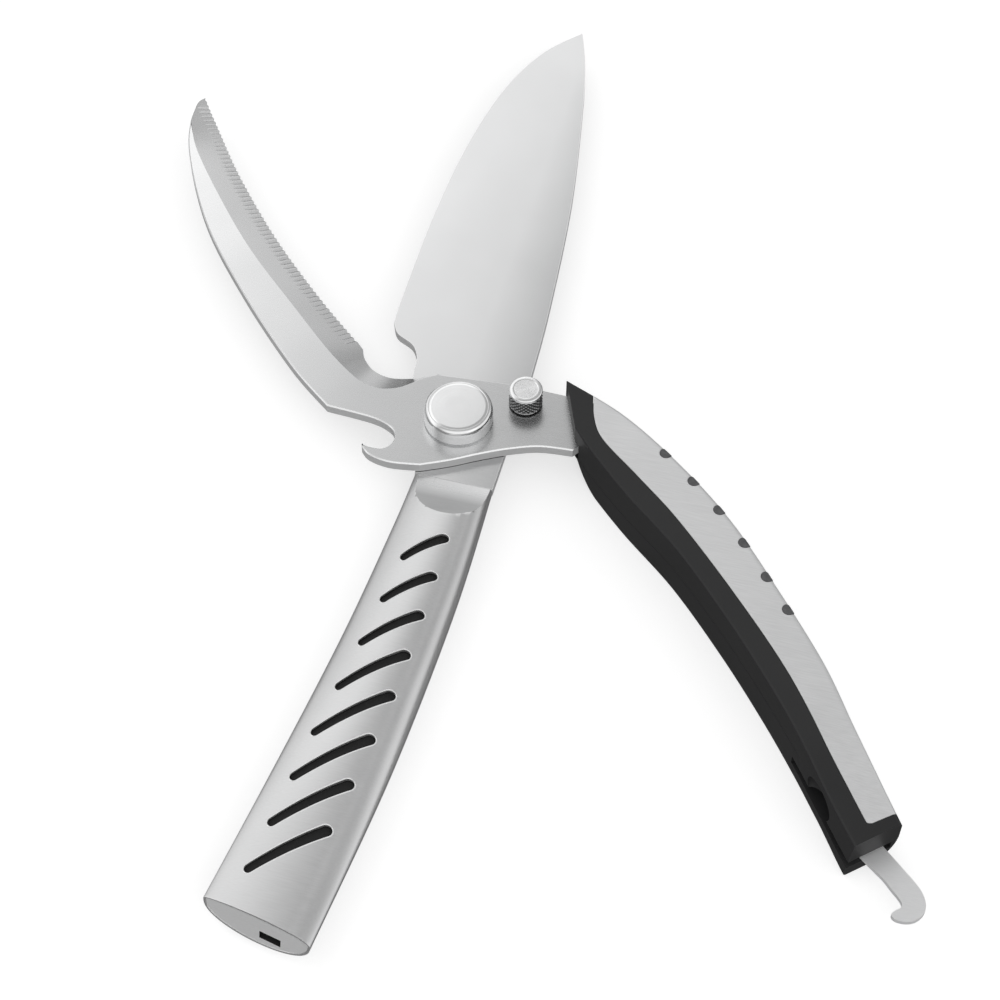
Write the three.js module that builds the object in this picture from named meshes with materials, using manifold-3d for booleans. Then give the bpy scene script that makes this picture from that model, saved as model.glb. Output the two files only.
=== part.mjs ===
// Heavy poultry shears with one arm shaped as a chef's knife.
// Millimetres, +Z up. The origin is on the pivot axis, on the flat underside of the pivot nut,
// level with the undersides of both handles. The knife arm runs along +Y towards its tip.

import * as THREE from 'three';
import { mergeVertices } from 'three/addons/utils/BufferGeometryUtils.js';
import Module from 'manifold-3d';

const wasm = await Module();
wasm.setup();

// ---------------------------------------------------------------- driving dimensions

const GAP = 0.3;             // clearance round a piece that sits in a pocket
const RUNNING = 0.15;        // clearance between faces that slide on each other

const KNIFE_BOTTOM = 6.3;    // underside of the knife blade and its tang
const KNIFE_TOP = 8.7;
const PLATE_BOTTOM = KNIFE_TOP + RUNNING;
const PLATE_TOP = PLATE_BOTTOM + 2.6;
const EDGE_LAND = 0.3;       // thickness left at a ground edge

const NECK_Y = -16;          // where the knife's tang meets its handle
const BUTT_LEFT = [-17.6, -133];
const BUTT_RIGHT = [7.9, -138.2];
const CHORD_Z = 7.5;         // widest level of the knife handle
const BUTT_LEAN = 0.3;       // how far the butt leans back towards its lower rim, per millimetre
const SHELL = 0.9;           // thickness of the steel handle shell
const CAP = 1.4;             // thickness of its end cap

const PIVOT_R = 3.5;         // pivot bolt shaft
const PIVOT_HOLE_R = 3.6;
const HEAD_R = 8.2;
const HEAD_TOP = 16.5;

const PLUNGER = [14.15, 8.87];
const PLUNGER_NOSE_R = 1;
const BARREL_R = 2.4;
const KNOB_R = 4.05;
const KNOB_TOP = 17.05;

const HANDLE_HEIGHT = 16.5;  // cutting arm's handle, from its underside to its top ridge
const HANDLE_END_HEIGHT = 13;
const COVER = 0.9;           // thickness of the silver cover
const WALL = 2.2;            // wall of the moulded handle halves

const LATCH_PIVOT = [112.4, -81.2];
const LATCH_Z = [3.8, 5.1];
const LATCH_POCKET_Z = [3.5, 6];
const LATCH_SLOT_Z = [3.5, 5.4];
const LATCH_PIN_R = 1.5;

const ROUND = 28;            // segments round a turned piece

// ---------------------------------------------------------------- geometry helpers

const vec = (points) => points.map(([x, y]) => new THREE.Vector2(x, y));
const lerp = THREE.MathUtils.lerp;
const smooth = THREE.MathUtils.smoothstep;

function spline(points, steps) {
  return new THREE.SplineCurve(vec(points)).getPoints(steps).map((p) => [p.x, p.y]);
}

// A closed geometry becomes a manifold solid once its shared vertices are merged.
function solid(geometry) {
  geometry.deleteAttribute('normal');
  geometry.deleteAttribute('uv');
  const merged = mergeVertices(geometry, 1e-4);
  const index = Array.from(merged.index.array);
  const triangles = [];
  for (let i = 0; i < index.length; i += 3) {
    const [a, b, c] = index.slice(i, i + 3);
    if (a !== b && b !== c && a !== c) triangles.push(a, b, c);
  }
  return new wasm.Manifold(new wasm.Mesh({
    numProp: 3,
    vertProperties: new Float32Array(merged.attributes.position.array),
    triVerts: new Uint32Array(triangles),
  }));
}

function prism(points, z0, z1) {
  const shape = new THREE.Shape(vec(points));
  const geometry = new THREE.ExtrudeGeometry(shape, { depth: z1 - z0, bevelEnabled: false });
  return solid(geometry.translate(0, 0, z0));
}

function rod([x, y], z0, z1, radius, segments = ROUND) {
  const geometry = new THREE.CylinderGeometry(radius, radius, z1 - z0, segments);
  return solid(geometry.rotateX(Math.PI / 2).translate(x, y, (z0 + z1) / 2));
}

// A turned piece: profile points are [radius, z], from the axis at the bottom to the axis at the top.
function turned([x, y], profile, segments = ROUND) {
  const geometry = new THREE.LatheGeometry(vec(profile), segments);
  return solid(geometry.rotateX(Math.PI / 2).translate(x, y, 0));
}

// Sections of equal point counts, joined in order; the two ends are closed.
function loft(sections, place) {
  const count = sections[0].length;
  const position = [];
  sections.forEach((section, i) => section.forEach((p) => position.push(...place(i, p))));
  const faces = [];
  for (let i = 0; i + 1 < sections.length; i += 1) {
    for (let k = 0; k < count; k += 1) {
      const a = i * count + k;
      const b = i * count + (k + 1) % count;
      faces.push(a, b, b + count, a, b + count, a + count);
    }
  }
  const cap = (section, start, far) => {
    const outline = vec(section);
    const turn = (corners) => THREE.ShapeUtils.area(corners) > 0;
    for (const [a, b, c] of THREE.ShapeUtils.triangulateShape(outline, [])) {
      const flip = (turn([outline[a], outline[b], outline[c]]) === turn(outline)) !== far;
      faces.push(start + a, start + (flip ? c : b), start + (flip ? b : c));
    }
  };
  cap(sections[0], 0, false);
  cap(sections[sections.length - 1], (sections.length - 1) * count, true);
  const geometry = new THREE.BufferGeometry();
  geometry.setAttribute('position', new THREE.Float32BufferAttribute(position, 3));
  geometry.setIndex(outward(faces, position));
  return solid(geometry);
}

// Reverses every triangle when the closed surface encloses a negative volume.
function outward(faces, position) {
  const point = (i) => new THREE.Vector3().fromArray(position, 3 * i);
  let volume = 0;
  for (let i = 0; i < faces.length; i += 3) {
    const [a, b, c] = [point(faces[i]), point(faces[i + 1]), point(faces[i + 2])];
    volume += a.dot(b.cross(c));
  }
  return volume < 0 ? faces.slice().reverse() : faces;
}

function union(first, ...rest) {
  return rest.reduce((sum, other) => sum.add(other), first);
}

function cut(first, ...rest) {
  return rest.reduce((left, other) => left.subtract(other), first);
}

// x of a line of points at a given y.
function xAt(points, y) {
  for (let i = 0; i + 1 < points.length; i += 1) {
    const [[x0, y0], [x1, y1]] = [points[i], points[i + 1]];
    if ((y0 - y) * (y1 - y) <= 0 && y0 !== y1) return lerp(x0, x1, (y - y0) / (y1 - y0));
  }
  const [first, last] = [points[0], points[points.length - 1]];
  return (y > first[1]) === (first[1] > last[1]) ? first[0] : last[0];
}

// Moves every point of a closed outline outwards (or inwards) along its own normal.
function offset(points, distance) {
  const area = THREE.ShapeUtils.area(vec(points));
  const sign = area > 0 ? 1 : -1;
  return points.map((p, i) => {
    const before = points[(i + points.length - 1) % points.length];
    const after = points[(i + 1) % points.length];
    const tangent = new THREE.Vector2(after[0] - before[0], after[1] - before[1]).normalize();
    return [p[0] + sign * distance * tangent.y, p[1] - sign * distance * tangent.x];
  });
}

// ---------------------------------------------------------------- materials and assembly

const finish = (color, roughness, metalness) => new THREE.MeshStandardMaterial({ color, roughness, metalness });
const satinBlade = finish(0xd2d3d4, 0.38, 1);
const satinPlate = finish(0xb9babb, 0.42, 1);
const shellSteel = finish(0xc4c5c6, 0.4, 1);
const polished = finish(0xe3e4e5, 0.16, 1);
const silverPaint = finish(0xc9cacb, 0.45, 0.6);
const blackPlastic = finish(0x242424, 0.5, 0);
const rubber = finish(0x4a4a4a, 0.7, 0);
const springSteel = finish(0x9a9b9c, 0.35, 1);

const shears = new THREE.Group();

function add(name, manifold, material, parent = shears) {
  const { vertProperties, triVerts } = manifold.getMesh();
  const geometry = new THREE.BufferGeometry();
  geometry.setAttribute('position', new THREE.BufferAttribute(Float32Array.from(vertProperties), 3));
  geometry.setIndex(Array.from(triVerts));
  geometry.computeVertexNormals();
  const mesh = new THREE.Mesh(geometry, material);
  mesh.name = name;
  parent.add(mesh);
}

// ---------------------------------------------------------------- knife arm

const knifeSpine = spline([[12.8, 18], [11.6, 41], [8, 77.7], [2.3, 112], [-1.2, 128], [-4.7, 139]], 22);
const knifeEdge = spline([[-4.7, 139], [-13.2, 128.6], [-19.7, 112.2], [-23.6, 89], [-25, 62], [-24.7, 32]], 24);

function knifeBlade() {
  const heelAndNotch = spline([[-24.4, 27.2], [-22.4, 23.8], [-17.9, 21.3], [-15.7, 17.7], [-15.3, 13.9]], 14);
  const neckSide = spline([[-13.6, 4], [-10.5, -6], [-6.6, -13], [-6.2, NECK_Y]], 8);
  const outline = [...knifeSpine, ...knifeEdge.slice(1), ...heelAndNotch, ...neckSide, [12.8, NECK_Y]];
  const tongue = prism([[-1, NECK_Y + 1], [-1, -27], [8, -27], [8, NECK_Y + 1]], KNIFE_BOTTOM, KNIFE_TOP);
  return cut(
    union(prism(outline, KNIFE_BOTTOM, KNIFE_TOP), tongue),
    knifeGrind(),
    rod([0, 0], 0, HEAD_TOP, PIVOT_HOLE_R),
  );
}

// The underside is ground flat from below the spine to the edge; the upper face stays flat.
function knifeGrind() {
  const stations = [25, 29, 45, 62, 80, 98, 112, 124, 133, 141];
  const beyond = 3;
  const sections = stations.map((y, i) => {
    const edge = xAt(knifeEdge, Math.min(y, 139));
    const spine = xAt(knifeSpine, Math.min(y, 139));
    const start = lerp(edge, spine, i === 0 ? 0 : 0.78);
    const slope = (KNIFE_TOP - EDGE_LAND - KNIFE_BOTTOM) / Math.max(start - edge, 1);
    const rise = i === 0 ? 0.02 : slope * (start - edge + beyond);
    const [low, far] = [KNIFE_BOTTOM - 0.01, edge - beyond];
    return [[start, low], [far, low], [far, KNIFE_BOTTOM + rise]];
  });
  return loft(sections, (i, [x, z]) => [x, stations[i], z]);
}

const shellLeft = spline([[-6.2, NECK_Y], [-6.9, -32], [-9.2, -64], [-13.5, -102], [-18.4, -140]], 30);
const shellRight = spline([[12.8, NECK_Y], [13.5, -50], [11.8, -95], [7.5, -140]], 30);

// Outline of the knife handle across its length: a low crown above the chord, a deeper belly below.
function handleSection(y, inset) {
  const left = xAt(shellLeft, y) + inset * 1.3;
  const right = xAt(shellRight, y) - inset * 1.3;
  const crown = lerp(lerp(10.7, 11.3, smooth(-y, 16, 60)), 9.3, smooth(-y, 70, 136)) - inset;
  const belly = lerp(lerp(2.4, 0, smooth(-y, 16, 60)), 1.7, smooth(-y, 85, 136)) + inset;
  const middle = (left + right) / 2;
  const half = (right - left) / 2;
  const points = [];
  const steps = 9;
  for (let k = 0; k < 2 * steps; k += 1) {
    const angle = Math.PI * k / steps;
    const x = Math.cos(angle);
    const up = k < steps;
    const height = Math.pow(Math.abs(Math.sin(angle)), up ? 1 : 0.85);
    points.push([middle + half * x, CHORD_Z + height * (up ? crown - CHORD_Z : belly - CHORD_Z)]);
  }
  return points;
}

function handleBody(inset, from, to) {
  const stations = [];
  const steps = 10;
  for (let i = 0; i <= steps; i += 1) stations.push(lerp(from, to, i / steps));
  const sections = stations.map((y) => handleSection(y, inset));
  return loft(sections, (i, [x, z]) => [x, stations[i], z]);
}

// Everything in front of the slanted butt plane, moved forward by depth.
function buttSlab(depth, thickness) {
  const [dx, dy] = [BUTT_RIGHT[0] - BUTT_LEFT[0], BUTT_RIGHT[1] - BUTT_LEFT[1]];
  const length = Math.hypot(dx, dy);
  const along = [dx / length, dy / length];
  const forward = [-along[1], along[0]];
  const corner = (a, f) => [0, 1].map((i) => BUTT_LEFT[i] + a * along[i] + f * forward[i]);
  const heights = [-5, 20];
  const sections = heights.map((z) => {
    const [near, far] = [depth, depth + thickness].map((f) => f + BUTT_LEAN * (z - CHORD_Z));
    return [corner(-20, near), corner(50, near), corner(50, far), corner(-20, far)];
  });
  return loft(sections, (i, [x, y]) => [x, y, heights[i]]);
}

const SCOOP_END = -27;
const SCOOP_TURN = THREE.MathUtils.degToRad(12);

// The scoop runs up from the flat of the tang to the crown of the handle, and the same below it.
function scoop() {
  const rise = 3.4;
  const steps = 8;
  const profile = [[-8, KNIFE_TOP], [-8, 18], [SCOOP_END - 2, 18]];
  for (let i = 0; i <= steps; i += 1) {
    const t = 1 - i / steps;
    profile.push([lerp(NECK_Y, SCOOP_END - 2, t), KNIFE_TOP + rise * t * t]);
  }
  const side = (i) => (i === 0 ? -30 : 30);
  const below = (z) => KNIFE_BOTTOM - 2.2 * (z - KNIFE_TOP);
  const upper = loft([profile, profile], (i, [y, z]) => [side(i), y, z]);
  const lower = loft([profile, profile], (i, [y, z]) => [side(i), y, below(z)]);
  const turn = (piece) => piece.translate(0, -NECK_Y, 0)
    .rotate(0, 0, THREE.MathUtils.radToDeg(SCOOP_TURN)).translate(0, NECK_Y, 0);
  return [turn(upper), turn(lower)];
}

// Eight slanted slots, slightly bowed and a little wider at their upper end.
function handleSlots(z0, z1) {
  const slots = [];
  for (let i = 0; i < 8; i += 1) {
    const y = -37.4 - 11.6 * i;
    const x = (xAt(shellLeft, y) + xAt(shellRight, y)) / 2 - 0.5;
    const length = Math.min(12.2 + 2.05 * i, 20.3);
    slots.push(prism(slotOutline(x, y, length), z0, z1));
  }
  return slots;
}

function slotOutline(x, y, length) {
  const slope = THREE.MathUtils.degToRad(43);
  const [narrow, wide, bow, steps] = [1, 1.35, 0.6, 4];
  const at = (u, v) => [
    x + u * Math.cos(slope) - v * Math.sin(slope),
    y + u * Math.sin(slope) + v * Math.cos(slope),
  ];
  const reach = length / 2;
  const points = [];
  for (let k = 0; k <= steps; k += 1) {
    const angle = -Math.PI / 2 + Math.PI * k / steps;
    points.push(at(reach - wide + wide * Math.cos(angle), wide * Math.sin(angle)));
  }
  points.push(at(0, bow + (narrow + wide) / 2));
  for (let k = 0; k <= steps; k += 1) {
    const angle = Math.PI / 2 + Math.PI * k / steps;
    points.push(at(-reach + narrow + narrow * Math.cos(angle), narrow * Math.sin(angle)));
  }
  points.push(at(0, bow - (narrow + wide) / 2));
  return points;
}

const CAVITY_FRONT = -30;

function handleShell() {
  const pocket = [[-1.2, -10], [-1.2, -27.3], [8.2, -27.3], [8.2, -10]];
  const tonguePocket = prism(pocket, KNIFE_BOTTOM - 0.2, KNIFE_TOP + 0.2);
  const behindButt = buttSlab(-30, 30);
  return cut(
    handleBody(0, NECK_Y - 0.05, -142),
    ...scoop(),
    tonguePocket,
    handleBody(SHELL, CAVITY_FRONT, -143),
    behindButt,
    ...handleSlots(CHORD_Z, 20),
    ...handleSlots(-5, CHORD_Z - 1),
  );
}

function handleCore() {
  const body = handleBody(SHELL + 0.25, CAVITY_FRONT - GAP, -142);
  return cut(body, buttSlab(-30, 30 + CAP + 5));
}

const LATCH_SLOT = { centre: [-1.7, -136.4], half: [2.5, 5] };

function handleEndCap() {
  const { centre: [x, y], half: [w, d] } = LATCH_SLOT;
  const slot = prism([[x - w, y - d], [x + w, y - d], [x + w, y + d], [x - w, y + d]], ...LATCH_SLOT_Z);
  const plate = handleBody(SHELL + 0.12, -125, -143).intersect(buttSlab(0.35, CAP));
  return cut(plate, slot);
}

function pivotBolt() {
  const base = PLATE_TOP + 0.1;
  const profile = [[0, 0.7], [PIVOT_R - 0.4, 0.7], [PIVOT_R, 1.1], [PIVOT_R, base], [HEAD_R - 0.5, base],
    [HEAD_R, base + 0.5], [HEAD_R, HEAD_TOP - 1.6], [HEAD_R - 0.35, HEAD_TOP - 0.75],
    [HEAD_R - 1, HEAD_TOP - 0.2], [HEAD_R - 1.3, HEAD_TOP - 0.1], [HEAD_R - 1.5, HEAD_TOP], [0, HEAD_TOP]];
  return turned([0, 0], profile, 36);
}

// A round cap nut with four spanner slots in its flat underside.
function pivotNut() {
  const outer = turned([0, 0], [[0, 0], [7.2, 0], [8, 0.8], [8, 3.6], [7.4, 4.2], [0, 4.2]]);
  const ring = cut(rod([0, 0], -1, 1.2, 9), rod([0, 0], -2, 2, 5.2));
  const slots = [0, 90].map((turn) => {
    const bar = prism([[-9, -0.9], [9, -0.9], [9, 0.9], [-9, 0.9]], -1, 1.1);
    return bar.rotate(0, 0, turn).intersect(ring);
  });
  return cut(outer, rod([0, 0], 0.5, 5, PIVOT_HOLE_R), ...slots);
}

// A flat ring, or one waved up and down three times round for the spring washer.
function washer(inner, outer, z0, z1, wave) {
  const steps = 36;
  const profile = [[inner, z0], [outer, z0], [outer, z1], [inner, z1]];
  const position = [];
  const faces = [];
  for (let i = 0; i < steps; i += 1) {
    const angle = 2 * Math.PI * i / steps;
    const lift = wave * Math.sin(3 * angle);
    for (const [r, z] of profile) position.push(r * Math.cos(angle), r * Math.sin(angle), z + lift);
    for (let k = 0; k < 4; k += 1) {
      const [a, b] = [4 * i + k, 4 * i + (k + 1) % 4];
      const [c, d] = [4 * ((i + 1) % steps) + (k + 1) % 4, 4 * ((i + 1) % steps) + k];
      faces.push(a, b, c, a, c, d);
    }
  }
  const geometry = new THREE.BufferGeometry();
  geometry.setAttribute('position', new THREE.Float32BufferAttribute(position, 3));
  geometry.setIndex(outward(faces, position));
  return solid(geometry);
}

const knifeArm = new THREE.Group();
shears.add(knifeArm);
add('knife_blade', knifeBlade(), satinBlade, knifeArm);
add('handle_shell', handleShell(), shellSteel, knifeArm);
add('handle_core', handleCore(), blackPlastic, knifeArm);
add('handle_end_cap', handleEndCap(), satinPlate, knifeArm);
add('pivot_bolt', pivotBolt(), polished, knifeArm);
add('pivot_wave_washer', washer(PIVOT_HOLE_R + 0.2, 6.6, 5.5, 5.9, 0.3), springSteel, knifeArm);
add('pivot_washer', washer(PIVOT_HOLE_R + 0.1, 7.4, 4.3, 5.1, 0), springSteel, knifeArm);
add('pivot_nut', pivotNut(), polished, knifeArm);

// ---------------------------------------------------------------- cutting arm: blade and plate

const bladeTip = [-95.2, 87.8];
const toothedEdge = [bladeTip, [-88, 78], [-76.6, 62.9], [-61.2, 45.5], [-44.3, 29.4], [-31, 18.2]];
const bladeBack = [[-31.5, -4.3], [-44, 5.6], [-62.8, 24.4], [-79.8, 44.8], [-92.6, 67.6], [-96.2, 83.5],
  bladeTip];
const boneNotch = [[-29, 16.3], [-27.6, 13.4], [-24.3, 10.5], [-19.5, 9.5], [-14, 11]];
const PLATE_CORNER = [-8.5, 11.9];

// Fine teeth: every second point of the edge is set back.
function teeth() {
  const [pitch, depth] = [1.6, 0.35];
  const curve = new THREE.SplineCurve(vec(toothedEdge));
  const count = 2 * Math.round(curve.getLength() / pitch);
  const points = curve.getSpacedPoints(count);
  return points.map((p, i) => {
    const tangent = curve.getTangentAt(i / count);
    const back = i % 2 === 1 ? depth : 0;
    return [p.x + back * tangent.y, p.y - back * tangent.x];
  });
}

function cuttingBlade() {
  const openerTooth = spline([[-5.1, -15.4], [-12.2, -16.5], [-17.3, -15.7], [-19.6, -14], [-20.1, -13]], 10);
  const openerNotch = spline([[-20.1, -13], [-18, -13.4], [-15, -13], [-13.3, -11], [-13.3, -8.6], [-15, -6.5],
    [-20, -4.9], [-31.5, -4.3]], 20);
  const lowerEdge = spline([[28.5, -1.8], [20.8, -2.7], [14.1, -5.2], [7.7, -8.5], [1.4, -12.2], [-5.1, -15.4]], 16);
  const outline = [
    ...teeth(), ...spline(boneNotch, 10), PLATE_CORNER, [11, 13.9], [22.8, 13.8],
    ...tangOutline(0),
    ...lowerEdge, ...openerTooth.slice(1), ...openerNotch.slice(1), ...spline(bladeBack, 24).slice(1, -1),
  ];
  const holes = [rod([0, 0], 0, 20, PIVOT_HOLE_R), rod(PLUNGER, 0, 20, BARREL_R + 0.1, 24),
    ...screwPlaces.slice(0, 2).map((place) => rod(place, 0, 20, 1.7, 20))];
  return cut(prism(outline, PLATE_BOTTOM, PLATE_TOP), bladeGrind(), ...holes);
}

// The upper face is ground down to the toothed edge, round the bone notch, and out at the plate's corner.
function bladeGrind() {
  const edge = [[-97, 91], [-92.2, 83.5], [-84, 72], [-72.2, 57.8], [-59.5, 43.8], [-42.3, 27.7], [-30.6, 17.6],
    [-27.4, 13.2], [-24.4, 10.6], [-20.3, 9.5], [-16.4, 10.1], [-12.5, 11.3], PLATE_CORNER];
  const line = [[-99.5, 85.5], [-95.6, 79.5], [-90.4, 68.5], [-78, 52.2], [-64.9, 37.7], [-48, 22.3], [-37.3, 12.8],
    [-30.5, 7.6], [-25.5, 4.7], [-21, 4], [-16.4, 5.6], [-12.2, 9.2], [-8.8, 11.6]];
  const steps = 36;
  const [outerPath, innerPath] = [spline(edge, steps), spline(line, steps)];
  const beyond = 1.2;
  const sections = innerPath.map((start, i) => {
    const width = Math.hypot(outerPath[i][0] - start[0], outerPath[i][1] - start[1]);
    const depth = (PLATE_TOP - PLATE_BOTTOM - EDGE_LAND) * Math.min(1, (steps - i) / 4);
    return [[0, 0], [width + beyond, -depth * (width + beyond) / width], [width + beyond, 0.5], [0, 0.5]];
  });
  return loft(sections, (i, [reach, z]) => {
    const [from, to] = [innerPath[i], outerPath[i]];
    const width = Math.hypot(to[0] - from[0], to[1] - from[1]);
    return [lerp(from[0], to[0], reach / width), lerp(from[1], to[1], reach / width), PLATE_TOP + z];
  });
}

// ---------------------------------------------------------------- cutting arm: handle

const innerWall = new THREE.SplineCurve(vec([[28.2, 1.2], [33.9, -4.9], [44.5, -14.7], [59.1, -26.7],
  [73.9, -41.8], [86, -55.6], [95.6, -67.6], [104, -78.9], [111.6, -88.2]]));
const outerWall = new THREE.SplineCurve(vec([[22.6, 14.9], [38.6, 8.2], [55, -2.8], [69.8, -15.5],
  [84.4, -31.8], [96.9, -47], [105.9, -60.4], [114.1, -71.7], [120.4, -80.1]]));

// u runs along the handle from 0 at its front to 1 at its end; n crosses it from the inner wall outwards.
function across(u, n) {
  const [a, b] = [innerWall.getPoint(u), outerWall.getPoint(u)];
  const width = a.distanceTo(b);
  return [lerp(a.x, b.x, n / width), lerp(a.y, b.y, n / width)];
}

const clampU = (u) => THREE.MathUtils.clamp(u, 0, 1);
const widthAt = (u) => innerWall.getPoint(clampU(u)).distanceTo(outerWall.getPoint(clampU(u)));
const heightAt = (u) => lerp(HANDLE_HEIGHT, HANDLE_END_HEIGHT, smooth(u, 0.68, 1.04));
const undersideAt = (u) => Math.min(5.3, 7.9 * Math.pow(Math.max(1 - u / 0.15, 0), 1.5));
const partingAt = (u) => (u < LATCH_POCKET_U + 0.03 ? lerp(6.3, 9.9, u / 0.76) : 5.7);
const LATCH_POCKET_U = 0.735;
const END_UNDERCUT = 0.006;   // the handle's end slopes forward and flares inwards towards its underside
const END_FLARE = 1;

// D-shaped section: upright inner wall, flat top with a tight outer edge, and an outer side that turns under.
function gripSection(u, skin) {
  const width = widthAt(u) - skin;
  const height = heightAt(u) - skin;
  const [low, ridge, edge, under] = [undersideAt(u) + skin, 0.7, 1.3, 5];
  const points = [[skin, low + 0.8], [skin + 0.8, low]];
  const steps = 4;
  for (let k = 0; k <= steps; k += 1) {
    const angle = Math.PI / 2 * k / steps;
    points.push([width - under + under * Math.sin(angle), lerp(0.6 * height, low, Math.cos(angle))]);
  }
  for (let k = 0; k <= 2; k += 1) {
    const angle = Math.PI / 2 * k / 2;
    points.push([width - edge + edge * Math.cos(angle), height - edge + edge * Math.sin(angle)]);
  }
  points.push([skin + ridge, height], [skin, height - ridge]);
  return points;
}

function gripBody(skin, from = 0, to = 1) {
  const steps = 18;
  const stations = Array.from({ length: steps + 1 }, (_, i) => lerp(from, to, i / steps));
  return loft(stations.map((u) => gripSection(u, skin)), (i, [n, z]) => {
    const u = stations[i];
    const low = 1 - z / heightAt(u);
    const inner = Math.max(1 - n / widthAt(u), 0);
    const [undercut, flare] = [END_UNDERCUT * smooth(u, 0.9, 1), END_FLARE * smooth(u, 0.85, 1) * inner];
    return [...across(u - undercut * low, n - flare * low), z];
  });
}

// A slab that follows the handle, between two heights that may change along it.
function gripSlab(from, to, inner, outer, bottom, top) {
  const steps = 14;
  const stations = Array.from({ length: steps + 1 }, (_, i) => lerp(from, to, i / steps));
  const level = (value, u) => (typeof value === 'function' ? value(u) : value);
  const sections = stations.map((u) => {
    const [low, high, far] = [level(bottom, u), level(top, u), level(outer, u)];
    return [[inner, low], [far, low], [far, high], [inner, high]];
  });
  return loft(sections, (i, [n, z]) => {
    const u = stations[i];
    const [x, y] = across(clampU(u), n);
    const ahead = u > 1 ? u - 1 : Math.min(u, 0);
    const direction = innerWall.getTangent(u > 0.5 ? 1 : 0);
    return [x + ahead * 120 * direction.x, y + ahead * 120 * direction.y, z];
  });
}

const screwPlaces = [0.15, 0.34, 0.66].map((u) => across(u, widthAt(u) / 2));
const TANG_END = 0.42;

// The tang starts as wide as the plate inside the handle's front wall and then narrows.
function tangOutline(grow) {
  const inner = 3.3 - grow;
  const outer = (u) => widthAt(u) - 3.6 + grow;
  const stations = [0.07, 0.14, 0.22, 0.32, TANG_END];
  return [
    ...stations.map((u) => across(u, outer(u))),
    ...stations.slice().reverse().map((u) => across(u, inner)),
  ];
}

// Outline of the plate where it passes through the handle's front wall, plus the tang.
function tangRegion(grow) {
  const plate = [[18, 13.8 + grow], [22.8, 13.8 + grow]];
  const lower = [[28.5, -1.8 - grow], [18, -3.4 - grow]];
  return [...plate, ...tangOutline(grow), ...lower];
}

const coverEdge = [[29.6, 14.5], [30.2, 11.4], [31.9, 5.1], [35.5, -0.6], [45.8, -8.8], [57.5, -18.4],
  [73.6, -34.2], [89.3, -51.3], [102.5, -69], [108.9, -77.1], [112.4, -81.5]];
const COVER_LOW = 3;

function coverOutline(grow) {
  const corner = spline([[112.4, -81.5], [113.1, -82.2], [114.1, -82]], 4).slice(1);
  const outside = [[125, -73], [108, -42], [84, -8], [50, 22], [32, 24]];
  return offset([...spline(coverEdge, 16), ...corner, ...outside], grow);
}

const STUD_R = 1.4;
const studStations = [0.219, 0.284, 0.348, 0.411, 0.469, 0.527];

function studSolid(u, radius, grow) {
  const place = across(u, widthAt(u) - 0.9);
  return rod(place, heightAt(u) - 6 - grow, heightAt(u) + 2, radius, 14);
}

function handleCover() {
  const skin = cut(gripBody(0), gripBody(COVER));
  const studHoles = studStations.map((u) => studSolid(u, STUD_R + 0.12, 0.12));
  return cut(skin.intersect(prism(coverOutline(0), COVER_LOW, 25)), ...studHoles);
}

function gripStud(u) {
  const proud = gripBody(-0.12);
  return studSolid(u, STUD_R, 0).intersect(proud).subtract(studBack(u));
}

// A stud reaches no deeper than the recess under the cover.
function studBack(u) {
  const place = across(u, widthAt(u) - 1 - 4.2);
  return rod(place, -1, heightAt(u) - 1.6, 3.4, 24);
}

function latchPocket() {
  return gripSlab(LATCH_POCKET_U, 1.06, -4, (u) => widthAt(u) - 1.7, ...LATCH_POCKET_Z);
}

// Finger dimple in the inner wall that lets a fingertip swing the stowed latch out.
function fingerDimple() {
  const centre = innerWall.getPoint(0.845);
  const direction = innerWall.getTangent(0.845);
  const geometry = new THREE.SphereGeometry(1, 16, 10).scale(5.3, 3, 4.3);
  geometry.rotateZ(Math.atan2(direction.y, direction.x));
  return solid(geometry.translate(centre.x, centre.y, 8.3));
}

const gripOuter = gripBody(0);
const coverRecess = cut(gripBody(-1), gripBody(COVER + 0.25))
  .intersect(prism(coverOutline(GAP), COVER_LOW - GAP, 25));
const gripUnderCover = cut(gripOuter, coverRecess);
const cavity = gripBody(WALL, 0.035, 0.7);
const studRecess = studStations.map((u) => studSolid(u, STUD_R + 0.2, 0.3));

// Everything below the parting surface of the two halves, raised or lowered by shift.
function belowParting(shift) {
  return gripSlab(-0.2, 1.2, -6, (u) => widthAt(u) + 6, -5, (u) => partingAt(u) + shift);
}

function handleUpperShell() {
  const bosses = screwPlaces.map((place, i) => rod(place, i < 2 ? PLATE_TOP + RUNNING : 9.8, 15.5, 3, 20));
  const hollow = cut(cavity, ...bosses);
  return cut(
    gripUnderCover,
    belowParting(0.2),
    hollow,
    prism(tangRegion(0.2), 0, PLATE_TOP + RUNNING),
    ...screwPlaces.map((place) => rod(place, 0, 13, 1.35, 20)),
    latchPocket(), fingerDimple(), ...studRecess,
    rod(LATCH_PIVOT, 0, 10.5, LATCH_PIN_R + 0.05, 20),
  );
}

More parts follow.
